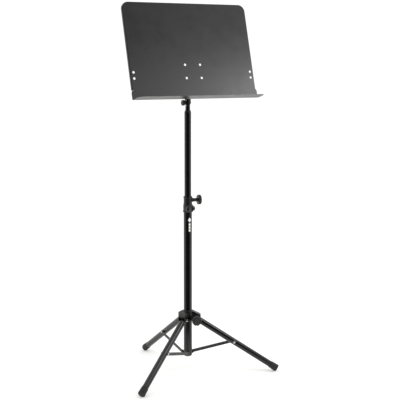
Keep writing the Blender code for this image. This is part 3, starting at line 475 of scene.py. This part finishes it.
def desk_sheet():
    """The folded sheet as one closed shell.

    The rim is its section carried along the outline. The flat face is filled between the rim
    and the punched holes. The fold is a quarter turn between two radii a sheet apart, and the
    shelf ends in two rounded corners.
    """
    section = np.array(flange_section())
    at = np.array([p for p, _ in rim_path()])
    normal = np.array([n for _, n in rim_path()])
    flat = at[:, None, :] + section[None, :, :1] * normal[:, None, :]
    deep = np.repeat(section[None, :, 1:], len(at), 0)
    points = np.concatenate([flat, deep], -1).reshape(-1, 3).tolist()
    rows, columns = len(at), len(section)
    faces = quads(rows, columns, False, False)
    faces += [list(range(columns)), list(range((rows - 1) * columns, rows * columns))]

    def extend(added):
        """Adds points and returns their indices."""
        first = len(points)
        points.extend([list(p) for p in added])
        return list(range(first, len(points)))

    foot = SHELF_WIDTH / 2
    step = FLANGE_FOOT - FLANGE_STEP
    low = SHELF_BEND + SUPPORT
    half = DESK_WIDTH / 2
    relief = FLANGE_FOOT - FLANGE_RELIEF
    left = [(FLANGE_BEND + SUPPORT - half, relief), (-half, relief), (-foot, step),
            (-foot, low)]
    corner = left + [(-x, y) for x, y in reversed(left)]
    outlines = []
    for column, depth in ((0, 0.0), (columns - 1, -SHEET)):
        rim = [row * columns + column for row in range(rows)]
        outlines.append(rim + extend([(x, y, depth) for x, y in corner]))
    front, back = outlines
    fold = rows + len(left) - 1
    for k in range(rows - 1, len(front)):
        n = (k + 1) % len(front)
        if k != fold:
            faces.append([front[k], front[n], back[n], back[k]])

    angle = np.linspace(0.0, 2 * pi, SMALL_TURNS, endpoint=False)
    holes = ([], [])
    for x, y in MIDDLE_HOLES + SIDE_HOLES:
        loops = []
        for radius, depth in ((HOLE_RADIUS + HOLE_LIP, 0.0), (HOLE_RADIUS, -HOLE_LIP),
                              (HOLE_RADIUS, HOLE_LIP - SHEET), (HOLE_RADIUS + HOLE_LIP, -SHEET)):
            loops.append(np.column_stack([x + radius * np.cos(angle), y + radius * np.sin(angle),
                                          np.full(SMALL_TURNS, depth)]))
        wall = extend(np.concatenate(loops))
        faces.extend(quads(4, SMALL_TURNS, False, True, wall[0]))
        holes[0].append(wall[:SMALL_TURNS])
        holes[1].append(wall[-SMALL_TURNS:])
    for outline, inside in zip(outlines, holes):
        loops = [outline] + inside
        every = [index for loop in loops for index in loop]
        cut = tessellate_polygon([[Vector((points[i][0], points[i][1], 0.0)) for i in loop]
                                  for loop in loops])
        faces += [[every[i] for i in triangle] for triangle in cut]

    inside = SHELF_BEND - SHEET
    section = [(SHELF_BEND, 0.0, SHELF_BEND, -SHEET)]
    for a in np.linspace(0.0, pi / 2, 11)[1:]:
        section.append((SHELF_BEND - inside * sin(a), inside - inside * cos(a),
                        SHELF_BEND - SHELF_BEND * sin(a), inside - SHELF_BEND * cos(a)))
    section.append((SHEET, inside + SUPPORT, 0.0, inside + SUPPORT))
    top = (front[fold], front[fold + 1])
    under = (back[fold], back[fold + 1])
    for top_y, top_z, under_y, under_z in section:
        next_top = extend([(-foot, top_y, top_z), (foot, top_y, top_z)])
        next_under = extend([(-foot, under_y, under_z), (foot, under_y, under_z)])
        faces.append([top[0], top[1], next_top[1], next_top[0]])
        faces.append([under[0], under[1], next_under[1], next_under[0]])
        for side in (0, 1):
            faces.append([top[side], next_top[side], next_under[side], under[side]])
        top, under = next_top, next_under
    edge = []
    for side, start in ((1, 0.0), (-1, pi / 2)):
        centre = (side * (foot - SHELF_CORNER), SHELF_DEPTH - SHEET - SHELF_CORNER)
        edge += arc(centre, SHELF_CORNER, start, start + pi / 2, 16)
    top_rim = [top[1]] + extend([(x, SHEET, z) for x, z in edge]) + [top[0]]
    under_rim = [under[1]] + extend([(x, 0.0, z) for x, z in edge]) + [under[0]]
    faces += [top_rim, under_rim]
    for k in range(len(top_rim) - 1):
        faces.append([top_rim[k], top_rim[k + 1], under_rim[k + 1], under_rim[k]])
    shell = (place(np.array(points), DESK).tolist(), faces)
    piece("desk_sheet", "desk", DESK_COAT, [shell], ["desk_plate"])


def desk_bracket():
    """Pressed bracket: a plate with cut corners and two cheeks that hang beside the post."""
    near = -SHEET - GAP
    far = near - BRACKET_PLATE
    half = BRACKET_HALF_WIDTH
    cut = BRACKET_CUT
    outline = rounded([(-half + cut, BRACKET_LOW), (half - cut, BRACKET_LOW),
                       (half, BRACKET_LOW + cut), (half, BRACKET_HIGH - cut),
                       (half - cut, BRACKET_HIGH), (-half + cut, BRACKET_HIGH),
                       (-half, BRACKET_HIGH - cut), (-half, BRACKET_LOW + cut)],
                      0.003, closed=True)
    shells = [prism(outline, far, near, DESK)]
    sideways = frame_of((0, 1, 0), (0, 0, 1), (1, 0, 0), TILT)
    middle = (near + far) / 2
    shape = arc((0.0, 0.0), CHEEK_RADIUS, pi, 2 * pi, 24)
    shape.append((CHEEK_RADIUS, CHEEK_BACK_RISE))
    for height in (CHEEK_HIGH, BRACKET_LOW + cut):
        at = place(np.array((0.0, height, middle)), DESK) - TILT
        shape.append((at[1], at[2]))
    shape.append((-CHEEK_RADIUS, CHEEK_FRONT_RISE))
    for low in (CHEEK_INSIDE, -CHEEK_INSIDE - CHEEK):
        shells.append(prism(shape, low, low + CHEEK, sideways))
    piece("bracket", "desk", TUBE_COAT, shells, ["desk_bracket"],
          bevel=0.0003)


def desk_nuts():
    """Flanged hexagon nuts on their weld studs."""
    back = -SHEET - GAP - BRACKET_PLATE - GAP
    for number, (x, y) in enumerate(NUT_PLACES):
        where = DESK @ frame_of((1, 0, 0), (0, -1, 0), (0, 0, -1), (x, y, back))
        flange = turned([(STUD_RADIUS, 0.0), (NUT_FLANGE, 0.0), (NUT_FLANGE, 0.0008),
                         (0.0044, 0.0016), (STUD_RADIUS, 0.0016)], where, 0.0002, SMALL_TURNS)
        hexagon = prism([(NUT_CORNER * cos(a), NUT_CORNER * sin(a)) for a in
                         np.linspace(0, 2 * pi, 6, endpoint=False)], 0.0012, 0.0048, where)
        stud = turned([(STUD_RADIUS - 0.0004, 0.0), (STUD_RADIUS, 0.0), (STUD_RADIUS, 0.0068),
                       (STUD_RADIUS - 0.0004, 0.0072)], where, 0.0002, SMALL_TURNS)
        piece("flange_nut_%d" % (number + 1), "desk", ZINC,
              [flange, hexagon, stud], ["desk_nut_%d" % (number + 1)], bevel=0.0002)


# ================================================================ tilt joint and post
def fluted(lobes, depth, low, high):
    """Radius of a knob's head: its rim is scalloped by a raised cosine between two heights."""
    def wave(angle, radius, height):
        scallop = (0.5 - 0.5 * np.cos(lobes * angle)) ** 2
        inside = np.clip((height - low) / 0.0006, 0, 1) * np.clip((high - height) / 0.0006, 0, 1)
        share = np.clip(radius / radius.max(), 0, 1) ** 8
        return radius - depth * scallop * inside * share
    return wave


def tilt_joint():
    """Bolt through the cheeks, friction washer and the small knob on its end.

    Profiles run from the right of the desk to its left, along the bolt.
    """
    where = frame_of((0, 1, 0), (0, 0, 1), (-1, 0, 0), TILT)
    start = CHEEK_INSIDE + CHEEK + GAP
    bolt = [(0.0010, -start - 0.0038), (0.0038, -start - 0.0034), (0.0053, -start - 0.0018),
            (0.0056, -start), (BOLT_RADIUS, -start), (BOLT_RADIUS, start + 0.0085)]
    piece("carriage_bolt", "post", ZINC,
          [turned(bolt, where, 0.0004, SMALL_TURNS)], ["tilt_bolt"])
    piece("friction_washer", "post", NYLON,
          [turned_ring(sleeve(0.0068, BOLT_RADIUS + GAP, start, start + WASHER), where)],
          ["tilt_washer"])
    base = start + WASHER + GAP
    head = base + TILT_KNOB_NECK
    end = head + TILT_KNOB_THICK
    knob = [(BOLT_RADIUS + GAP, base), (0.0058, base), (0.0056, head),
            (TILT_KNOB_RADIUS, head), (TILT_KNOB_RADIUS, end - 0.0008), (0.0062, end),
            (0.0054, end - 0.0007), (0.0010, end - 0.0004)]
    piece("tilt_knob_head", "tilt_knob", NYLON,
          [turned(knob, where, 0.0009, 112, fluted(7, 0.0014, head - 0.0002, end + 0.0002))],
          ["tilt_knob"])


def desk_post():
    """Round post whose head is pressed to two flats.

    Each level is a circle with its sideways reach clipped to the flats; the clip eases in
    over a short shoulder.
    """
    low = POST_LOW[2]
    high = POST_HIGH[2]
    flat_from = TILT[2] - 0.0145
    profile = np.array(rounded([(POST_RADIUS - 0.001, low), (POST_RADIUS, low + 0.001),
                                (POST_RADIUS, flat_from - 0.002), (POST_RADIUS, flat_from),
                                (POST_RADIUS, high - 0.004), (POST_RADIUS - 0.0016, high - 0.0012),
                                (0.0005, high)], 0.0012))
    grid = revolve(profile)
    flat = CHEEK_INSIDE - GAP
    ease = np.clip((grid[..., 2] - flat_from) / 0.0012 + 1.0, 0, 1)
    limit = POST_RADIUS + (flat - POST_RADIUS) * ease
    grid[..., 0] = np.clip(grid[..., 0], -limit, limit)
    piece("post", "post", TUBE_COAT, [tube_shell(place(grid, upright()))],
          ["desk_post"])


# ================================================================ mast
def mast_tubes():
    """Both tubes with rolled ends, and the tapered plastic bushing between the inner tube and the
    post.
    """
    where = upright()
    piece("inner_mast_tube", "upper_mast", TUBE_COAT,
          [turned_ring(sleeve(UPPER_RADIUS, UPPER_RADIUS - WALL, UPPER_LOW[2], UPPER_HIGH[2]),
                       where)], ["upper_tube"])
    low, high = (corner.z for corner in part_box("post_bushing"))
    bore = POST_RADIUS + GAP
    spigot = UPPER_RADIUS - WALL - GAP
    shoulder = UPPER_HIGH[2] + GAP
    cone = [(bore, low), (spigot, low), (spigot, shoulder), (UPPER_RADIUS, shoulder),
            (UPPER_RADIUS, shoulder + 0.0018), (bore + 0.0007, high), (bore, high)]
    piece("tapered_bushing", "upper_mast", NYLON, [turned_ring(cone, where)],
          ["post_bushing"])
    piece("outer_mast_tube", "mast", TUBE_COAT,
          [turned_ring(sleeve(OUTER_RADIUS, OUTER_RADIUS - WALL, OUTER_LOW[2], OUTER_HIGH[2]),
                       where)], ["outer_tube"])


def wrapped(across, up):
    """Thin closed patch of ink on the outer tube: across is arc length, up is height."""
    layers = []
    for lift in (0.00002, 0.00006):
        radius = OUTER_RADIUS + lift
        angle = MARK_TURN + across / OUTER_RADIUS
        layers.append(np.stack([AXIS[0] + radius * np.cos(angle), AXIS[1] + radius * np.sin(angle),
                                MARK_HEIGHT + up], -1))
    rows, columns = across.shape
    points = np.concatenate([layer.reshape(-1, 3) for layer in layers]).tolist()
    faces = quads(rows, columns, False, False) + quads(rows, columns, False, False, rows * columns)
    loop = np.concatenate([np.arange(columns), np.arange(1, rows) * columns + columns - 1,
                           (rows - 1) * columns + np.arange(columns - 2, -1, -1),
                           np.arange(rows - 2, 0, -1) * columns])
    nearby = np.roll(loop, -1)
    faces += np.stack([loop, nearby, nearby + rows * columns, loop + rows * columns],
                      -1).tolist()
    return points, faces


def printed_mark():
    """Plain white mark up the tube: three bars and a diamond, wrapped on the curved wall.

    The diamond is a square grid whose rows narrow with their distance from the middle one.
    """
    shells = []
    for bottom, top, half in MARK_BARS:
        v, u = np.meshgrid(np.linspace(bottom, top, 8), np.linspace(-half, half, 10),
                           indexing="ij")
        shells.append(wrapped(u, v))
    v, u = np.meshgrid(np.linspace(-1.0, 1.0, 12), np.linspace(-1.0, 1.0, 12), indexing="ij")
    wide, tall = DIAMOND_HALF
    shells.append(wrapped(u * wide * (1.02 - np.abs(v)), DIAMOND_MIDDLE + v * tall))
    piece("printed_mark", "mast", INK, shells)


def bottom_plug():
    """Rounded plug in the mast's foot with a lug beside the plane of each leg."""
    radius = OUTER_RADIUS
    root = radius / 3
    spigot = radius - WALL - GAP
    low = PLUG_LOW[2]
    top = OUTER_LOW[2] - GAP
    shells = [turned([(0.0010, low), (radius - 0.0050, low), (radius - 0.0012, low + 0.0026),
                      (radius, low + 0.0060), (radius, top), (spigot, top),
                      (spigot, PLUG_HIGH[2])], upright(), 0.0012)]
    outer = BRACE_OFFSET - GAP
    for side in SIDES:
        pivot = at_joint("brace_%s_fold" % side)
        where = arm_frame(side, pivot)
        reach = reach_of(pivot)
        shape = [(root - reach, low + 0.0028 - pivot[2]),
                 (-0.0055, low + 0.0028 - pivot[2])]
        shape += arc((0.0, 0.0), 0.0060, radians(-62.0), radians(158.0), 24)
        shape += [(shape[-1][0], top - pivot[2]), (root - reach, top - pivot[2])]
        shells.append(prism(shape, outer - LUG, outer, where))
    piece("mast_foot_plug", "mast", NYLON, shells, ["bottom_plug"], bevel=0.0003)


def arm_frame(side, origin):
    """Frame at a point of one arm: X out from the mast, Y up, Z sideways past the arm.

    It is a mirrored frame; piece() turns the faces outwards again.
    """
    pivot = at_joint("leg_%s_fold" % side)
    out = (pivot[:2] - AXIS) / reach_of(pivot)
    return frame_of((out[0], out[1], 0), (0, 0, 1), (-out[1], out[0], 0), origin)


# ================================================================ clamp
def finger_knob(name, body, joint, inner, tip, replaced):
    """Fluted knob with a drum neck, on the screw that runs in to the tip distance."""
    screw = KNOB_SCREW
    profile = [(screw - 0.0006, tip), (screw, tip + 0.0006), (screw, inner - KNOB_NECK),
               (0.0068, inner - KNOB_NECK), (0.0064, inner - 0.0080), (0.0078, inner - 0.0006),
               (KNOB_RADIUS - 0.0012, inner - 0.0006), (KNOB_RADIUS, inner + 0.0014),
               (KNOB_RADIUS, inner + 0.0100), (KNOB_RADIUS - 0.0020, inner + 0.0118),
               (0.0112, inner + 0.0122), (0.0100, inner + 0.0108), (0.0010, inner + 0.0112)]
    wave = fluted(KNOB_LOBES, 0.0024, inner - 0.0008, inner + 0.0128)
    shell = turned(profile, knob_frame(joint), 0.0010, 180, wave)
    piece(name, body, NYLON, [shell], replaced)


def ellipse_loft(levels, where):
    """Closed shell through ellipses given as (out, half width, half height)."""
    angle = np.linspace(0.0, 2 * pi, TURNS, endpoint=False)[None, :]
    out, wide, tall = (np.array(levels, float)[:, k:k + 1] for k in range(3))
    grid = np.stack([wide * np.cos(angle), tall * np.sin(angle), out + 0 * angle], -1)
    return tube_shell(place(grid, where))


def clamp():
    """Collar at the top of the outer tube with its bosses, screws and knob."""
    low = COLLAR_LOW[2]
    high = COLLAR_HIGH[2]
    wide = OUTER_RADIUS
    slim = UPPER_RADIUS
    split = OUTER_HIGH[2] + GAP
    profile = [(wide + GAP, low), (wide + 0.0014, low), (wide + 0.0030, low + 0.0014),
               (wide + 0.0030, low + 0.0046), (wide + 0.0018, low + 0.0064),
               (wide + 0.0018, low + 0.0240), (wide + 0.0010, low + 0.0300),
               (slim + 0.0031, low + 0.0340), (slim + 0.0029, low + 0.0520),
               (slim + 0.0042, low + 0.0536), (slim + 0.0043, low + 0.0562),
               (slim + 0.0037, high), (slim + GAP, high), (slim + GAP, split),
               (wide + GAP, split)]
    shells = [turned_ring(profile, upright(), ROLLED, 96)]
    for turn in CLAMP_BOSS_TURNS:
        where = outward_frame(turn, CLAMP_BOSS_HEIGHT)
        levels = [(wide + 0.0004, 0.0100, 0.0140), (wide + 0.0016, 0.0098, 0.0136),
                  (wide + 0.0040, 0.0090, 0.0114), (wide + 0.0067, 0.0078, 0.0088),
                  (wide + 0.0092, 0.0066, 0.0066), (wide + 0.0107, 0.0057, 0.0051),
                  (wide + 0.0113, 0.0050, 0.0043), (wide + 0.0114, 0.0036, 0.0034),
                  (wide + 0.0104, 0.0033, 0.0033)]
        shells.append(ellipse_loft(levels, where))
    stub = [(0.0078, slim + 0.0006), (0.0078, slim + 0.0062), (0.0068, slim + 0.0076),
            (0.0066, slim + 0.0084), (0.0034, slim + 0.0084)]
    shells.append(turned(stub, knob_frame("height_knob_turn"), 0.0006))
    cap = [(0.0044, slim + 0.0020), (0.0042, slim + 0.0036), (0.0024, slim + 0.0037),
           (0.0022, slim + 0.0030), (0.0004, slim + 0.0030)]
    at = at_joint("height_knob_turn")[2] - 0.0008
    shells.append(turned(cap, outward_frame(radians(-124.0), at), 0.0004))
    piece("collar_body", "mast", NYLON, shells, ["clamp_collar"])
    for number, turn in enumerate(CLAMP_BOSS_TURNS):
        base = wide + 0.0060
        screw = [(0.0028, base), (0.0030, base + 0.0004), (0.0030, base + 0.0040),
                 (0.0022, base + 0.0046), (0.0013, base + 0.0046), (0.0011, base + 0.0034),
                 (0.0002, base + 0.0034)]
        piece("socket_screw_%d" % (number + 1), "mast", ZINC,
              [turned(screw, outward_frame(turn, CLAMP_BOSS_HEIGHT), 0.0003, SMALL_TURNS)],
              ["clamp_screw_%d" % (number + 1)])
    finger_knob("height_knob_head", "height_knob", "height_knob_turn", slim + HEIGHT_KNOB_OUT,
                slim + PAD, ["height_knob"])


# ================================================================ tripod
def hub():
    """Hub: a sleeve with three roofed arms whose side walls hold the leg pins."""
    wall = OUTER_RADIUS + 0.0042
    low = HUB_LOW[2]
    high = HUB_HIGH[2]
    bore = OUTER_RADIUS + GAP
    shells = [turned_ring([(bore, low), (wall, low), (wall, high - 0.0036),
                           (wall - 0.0010, high - 0.0012), (wall - 0.0026, high),
                           (bore, high)], upright(), ROLLED, 96)]
    slot = LEG_RADIUS + 0.00035
    half = slot + 0.0020
    for side in SIDES:
        pivot = at_joint("leg_%s_fold" % side)
        where = arm_frame(side, (AXIS[0], AXIS[1], 0.0))
        reach = reach_of(pivot) + 0.0144
        end_top = pivot[2] + LEG_RADIUS + 0.0050
        root_top = end_top + 0.0123
        root = wall - 0.0026
        slope = (root_top - end_top) / (reach - wall - 0.0010)
        under = end_top - 0.0055
        roof = [(root, root_top), (wall + 0.0010, root_top), (reach - 0.0015, end_top),
                (reach, end_top - 0.0015), (reach, under),
                (wall + 0.0013, under + slope * (reach - wall - 0.0013)),
                (root, root_top - 0.008)]
        shells.append(prism(roof, -half, half, where))
        cheek = [(root, low + 0.001), (wall + 0.0020, low + 0.001),
                 (reach - 0.003, pivot[2] - 0.0032), (reach, pivot[2] - 0.0002),
                 (reach, end_top - 0.0015), (reach - 0.0015, end_top),
                 (wall + 0.0010, root_top), (root, root_top)]
        for edge in (slot, -half):
            shells.append(prism(cheek, edge, edge + half - slot, where))
    boss_end = OUTER_RADIUS + HUB_KNOB_OUT - KNOB_NECK - GAP
    boss = [(0.0085, OUTER_RADIUS + 0.002), (0.0085, boss_end - 0.0010), (0.0075, boss_end),
            (0.0034, boss_end)]
    shells.append(turned(boss, knob_frame("hub_knob_turn"), 0.0006))
    piece("hub_body", "hub", NYLON, shells, ["hub"], bevel=0.0005)
    finger_knob("hub_knob_head", "hub_knob", "hub_knob_turn", OUTER_RADIUS + HUB_KNOB_OUT,
                OUTER_RADIUS + PAD, ["hub_knob"])
    face = half + GAP
    pin = [(0.0006, -face - 0.0020), (0.0034, -face - 0.0016), (0.0048, -face - 0.0008),
           (0.0050, -face), (PIN_RADIUS, -face), (PIN_RADIUS, face), (0.0050, face),
           (0.0048, face + 0.0008), (0.0034, face + 0.0016), (0.0006, face + 0.0020)]
    for side in SIDES:
        where = arm_frame(side, at_joint("leg_%s_fold" % side))
        piece("hub_pin_" + side, "hub", ZINC,
              [turned(pin, where, 0.0003, SMALL_TURNS)], ["leg_pin_" + side])


def leg_frame(side):
    """Frame at the hub pivot: Z down the leg to its foot, Y sideways."""
    pivot = at_joint("leg_%s_fold" % side)
    arm = arm_frame(side, pivot)
    out, sideways = arm[:3, 0], arm[:3, 2]
    slope = out * sin(LEG_SLOPE) - np.array((0, 0, cos(LEG_SLOPE)))
    return frame_of(np.cross(sideways, slope), sideways, slope, pivot)


def leg_tube(grid):
    """Presses the leg's sides in a little where the brace's rivet passes through.

    The sideways reach is cut by a bell curve along the leg, centred on the rivet.
    """
    bell = np.exp(-((grid[..., 2] - RIVET_ALONG) / 0.009) ** 2)
    limit = LEG_RADIUS * (1.0 - 0.10 * bell)
    grid[..., 1] = np.clip(grid[..., 1], -limit, limit)
    return grid


def leg(side):
    """One leg: tube, domed end, rubber foot and the rivet for its brace.

    Profiles run down the leg from the hub's pivot. The foot is cut flat where it stands.
    """
    where = leg_frame(side)
    radius = LEG_RADIUS
    body = "leg_" + side
    start = 0.0050
    end = LEG_LENGTH - 0.004
    eased = radius - 0.0003
    along = np.linspace(start + ROLLED, end - ROLLED, 120)
    profile = [(eased, start)] + [(radius, z) for z in along] + [(eased, end)]
    profile += [(radius - WALL, end), (radius - WALL, start)]
    grid = leg_tube(revolve(profile))
    piece("leg_tube_" + side, body, TUBE_COAT,
          [ring_shell(place(grid, where))], ["leg_" + side])
    spigot = radius - WALL - GAP
    dome = [(radius * sin(a), -radius * cos(a)) for a in np.radians(np.linspace(4, 90, 12))]
    cap = dome + [(radius, start - GAP), (spigot, start - GAP), (spigot, 0.022),
                  (0.0010, 0.022)]
    piece("leg_cap_" + side, body, NYLON,
          [tube_shell(place(revolve(cap), where))], ["leg_end_" + side])
    rivet_side = where @ frame_of((0, 0, 1), (1, 0, 0), (0, 1, 0), (0, 0, RIVET_ALONG))
    out = radius + GAP
    rivet = [(0.0004, -out - 0.0023), (0.0030, -out - 0.0019), (0.0046, -out - 0.0008),
             (0.0049, -out), (RIVET_RADIUS, -out), (RIVET_RADIUS, out), (0.0056, out),
             (0.0056, BRACE_OFFSET - GAP)]
    piece("rivet_" + side, body, ZINC,
          [turned(rivet, rivet_side, 0.0003, SMALL_TURNS)], ["leg_rivet_" + side])
    top = LEG_LENGTH - FOOT_LENGTH
    fit = radius + GAP
    boot = [(fit, LEG_LENGTH - 0.0037), (fit, top), (fit + 0.0009, top),
            (fit + 0.0012, top + 0.0100), (FOOT_RADIUS - 0.0002, LEG_LENGTH - 0.012),
            (FOOT_RADIUS, LEG_LENGTH - 0.0010), (FOOT_RADIUS - 0.0010, LEG_LENGTH),
            (0.0008, LEG_LENGTH)]
    grid = place(revolve(rounded(boot, ROLLED)), where)
    grid[..., 2] = np.maximum(grid[..., 2], 0.0)
    piece("rubber_foot_" + side, body, RUBBER, [tube_shell(grid)],
          ["foot_" + side])


def brace(side):
    """One flat brace with its inner rivet and the rivet head at its outer end."""
    pivot = at_joint("brace_%s_fold" % side)
    reach = reach_of(pivot)
    rivet_out = PIVOT_REACH + RIVET_ALONG * sin(LEG_SLOPE)
    rivet_up = PIVOT_HEIGHT - RIVET_ALONG * cos(LEG_SLOPE)
    length = hypot(rivet_out - reach, rivet_up - pivot[2])
    rise = atan2(rivet_up - pivot[2], rivet_out - reach)
    where = arm_frame(side, pivot) @ np.array(Matrix.Rotation(rise, 4, "Z"))
    half = BRACE_WIDTH / 2
    shape = arc((0.0, 0.0), half, pi / 2, 3 * pi / 2, 24)
    shape += arc((length, 0.0), half, -pi / 2, pi / 2, 24)
    body = "brace_" + side
    piece("brace_bar_" + side, body, TUBE_COAT,
          [prism(shape, BRACE_OFFSET, BRACE_OFFSET + BRACE_THICK, where)], ["brace_" + side],
          bevel=0.0005)
    face = BRACE_OFFSET + BRACE_THICK + GAP
    back = BRACE_OFFSET - 3 * GAP - LUG
    pin = [(0.0026, back - 0.0012), (0.0042, back - 0.0006), (0.0042, back),
           (RIVET_RADIUS, back), (RIVET_RADIUS, face), (0.0045, face),
           (0.0043, face + 0.0008), (0.0030, face + 0.0015), (0.0004, face + 0.0018)]
    piece("brace_rivet_inner_" + side, "mast", BLACK_ZINC,
          [turned(pin, where, 0.0003, SMALL_TURNS)], ["brace_pin_" + side])
    head = [(0.0024, BRACE_OFFSET + 0.0002), (RIVET_RADIUS, BRACE_OFFSET + 0.0004),
            (RIVET_RADIUS, face), (0.0049, face), (0.0047, face + 0.0008),
            (0.0034, face + 0.0018), (0.0004, face + 0.0023)]
    outer_end = where @ frame_of((1, 0, 0), (0, 1, 0), (0, 0, 1), (length, 0, 0))
    piece("brace_rivet_outer_" + side, body, ZINC,
          [turned(head, outer_end, 0.0003, SMALL_TURNS)], ["brace_rivet_" + side])


# ================================================================ studio
def area_light(name, at, aim, size, watts):
    """A soft white rectangular light that faces the point it aims at."""
    data = bpy.data.lights.new(name, "AREA")
    data.shape = "RECTANGLE"
    data.size, data.size_y = size
    data.energy = watts
    made = bpy.data.objects.new(name, data)
    made.location = at
    made.rotation_euler = (Vector(aim) - Vector(at)).to_track_quat("-Z", "Y").to_euler()
    bpy.context.scene.collection.objects.link(made)


def studio():
    """Pale floor in an evenly white room."""
    mesh = bpy.data.meshes.new("floor")
    reach = FLOOR_REACH
    mesh.from_pydata([(-reach, -reach, 0), (reach, -reach, 0), (reach, reach, 0),
                      (-reach, reach, 0)], [], [(0, 1, 2, 3)])
    paper = bpy.data.materials.new("pale_floor")
    paper.use_nodes = True
    shader = paper.node_tree.nodes["Principled BSDF"]
    shader.inputs["Base Color"].default_value = linear("#f8f8f6")
    shader.inputs["Emission Color"].default_value = linear("#ffffff")
    shader.inputs["Emission Strength"].default_value = FLOOR_GLOW
    shader.inputs["Roughness"].default_value = 0.9
    shader.inputs["Specular IOR Level"].default_value = 0.2
    mesh.materials.append(paper)
    floor = bpy.data.objects.new("floor", mesh)
    bpy.context.scene.collection.objects.link(floor)

    world = bpy.data.worlds.new("white_room")
    bpy.context.scene.world = world
    world.use_nodes = True
    background = world.node_tree.nodes["Background"]
    background.inputs["Color"].default_value = linear("#ffffff")
    background.inputs["Strength"].default_value = ROOM_LIGHT
    world.cycles.sampling_method = "NONE"


def dark_card():
    """Curved black card round the stand's front, which keeps the middle of each tube dark.

    A half cone about the mast that widens upward, closed above by a quarter of a ball. It
    thins to nothing toward its sides, and only mirror-like reflections meet it.
    """
    toward = CAMERA_AT - np.array((AXIS[0], AXIS[1], CAMERA_AT[2]))
    toward = toward / np.linalg.norm(toward)
    side = np.array((-toward[1], toward[0], 0.0))
    turn = np.linspace(-pi / 2, pi / 2, 49)[None, :, None]
    rise = np.concatenate([np.zeros(8), np.linspace(0.0, pi / 2, 17)])[:, None, None]
    foot = np.concatenate([np.linspace(0.002, CARD_SHOULDER, 9)[:-1],
                           np.full(17, CARD_SHOULDER)])[:, None, None]
    reach = CARD_FOOT_RADIUS + (CARD_RADIUS - CARD_FOOT_RADIUS) * foot / CARD_SHOULDER
    spoke = np.cos(turn) * toward + np.sin(turn) * side
    grid = reach * np.cos(rise) * spoke + np.array((AXIS[0], AXIS[1], 0.0))
    grid[..., 2] = (foot + CARD_RADIUS * np.sin(rise))[..., 0]
    mesh = bpy.data.meshes.new("dark_card")
    mesh.from_pydata(grid.reshape(-1, 3).tolist(), [], quads(*grid.shape[:2], False, False))
    felt = bpy.data.materials.new("black_felt")
    felt.use_nodes = True
    tree = felt.node_tree
    tree.nodes.remove(tree.nodes["Principled BSDF"])
    where = add(tree, "ShaderNodeTexCoord").outputs["Object"]
    from_axis = add(tree, "ShaderNodeVectorMath", links={0: where}, operation="SUBTRACT")
    from_axis.inputs[1].default_value = (AXIS[0], AXIS[1], CARD_SHOULDER)
    level = add(tree, "ShaderNodeVectorMath", links={0: from_axis.outputs["Vector"]},
                operation="MAXIMUM")
    level.inputs[1].default_value = (-2 * CARD_RADIUS, -2 * CARD_RADIUS, 0.0)
    unit = add(tree, "ShaderNodeVectorMath", links={0: level.outputs["Vector"]},
               operation="NORMALIZE")
    facing = add(tree, "ShaderNodeVectorMath", links={0: unit.outputs["Vector"]},
                 operation="DOT_PRODUCT")
    facing.inputs[1].default_value = toward
    cover = add(tree, "ShaderNodeMapRange", {"From Min": cos(CARD_CLEAR),
                                             "From Max": cos(CARD_SOLID)},
                {"Value": facing.outputs["Value"]}, interpolation_type="SMOOTHSTEP")
    clear = add(tree, "ShaderNodeBsdfTransparent")
    black = add(tree, "ShaderNodeBsdfDiffuse", {"Color": linear("#0a0a0a")})
    mixed = add(tree, "ShaderNodeMixShader", links={0: cover.outputs["Result"],
                                                    1: clear.outputs["BSDF"],
                                                    2: black.outputs["BSDF"]})
    tree.links.new(mixed.outputs["Shader"], tree.nodes["Material Output"].inputs["Surface"])
    mesh.materials.append(felt)
    card = bpy.data.objects.new("dark_card", mesh)
    bpy.context.scene.collection.objects.link(card)
    card.visible_camera = False
    card.visible_diffuse = False
    card.visible_shadow = False
    card.visible_transmission = False


def camera():
    """Looks at the mast from the front left with a long lens."""
    data = bpy.data.cameras.new("camera")
    data.lens = CAMERA_LENS
    data.sensor_width = CAMERA_SENSOR
    made = bpy.data.objects.new("camera", data)
    turn = CAMERA_TURN + CAMERA_SWING
    ahead = Vector((-sin(turn) * cos(CAMERA_TIP), cos(turn) * cos(CAMERA_TIP), -sin(CAMERA_TIP)))
    made.location = CAMERA_AT
    made.rotation_euler = (ahead.to_track_quat("-Z", "Y").to_matrix()
                           @ Matrix.Rotation(CAMERA_ROLL, 3, "Z")).to_euler()
    bpy.context.scene.collection.objects.link(made)
    bpy.context.scene.camera = made


# ================================================================ everything together
camera()
studio()
dark_card()
desk_sheet()
desk_bracket()
desk_nuts()
tilt_joint()
desk_post()
mast_tubes()
printed_mark()
bottom_plug()
clamp()
hub()
for side in SIDES:
    leg(side)
    brace(side)
for name, finish in (("tube_guide", NYLON), ("mast_bushing", NYLON), ("clamp_pad", BRASS),
                     ("hub_pad", BRASS)):
    frame["nodes"][name].data.materials.clear()
    frame["nodes"][name].data.materials.append(finish)
area_light("key", (0.86, -0.97, 1.42), (0.24, -0.06, 1.02), (0.54, 0.33), 4.5)
area_light("fill", (0.19, -1.06, 1.50), (-0.15, -0.06, 1.06), (0.76, 0.32), 1.2)
bpy.context.scene.view_settings.view_transform = "Standard"
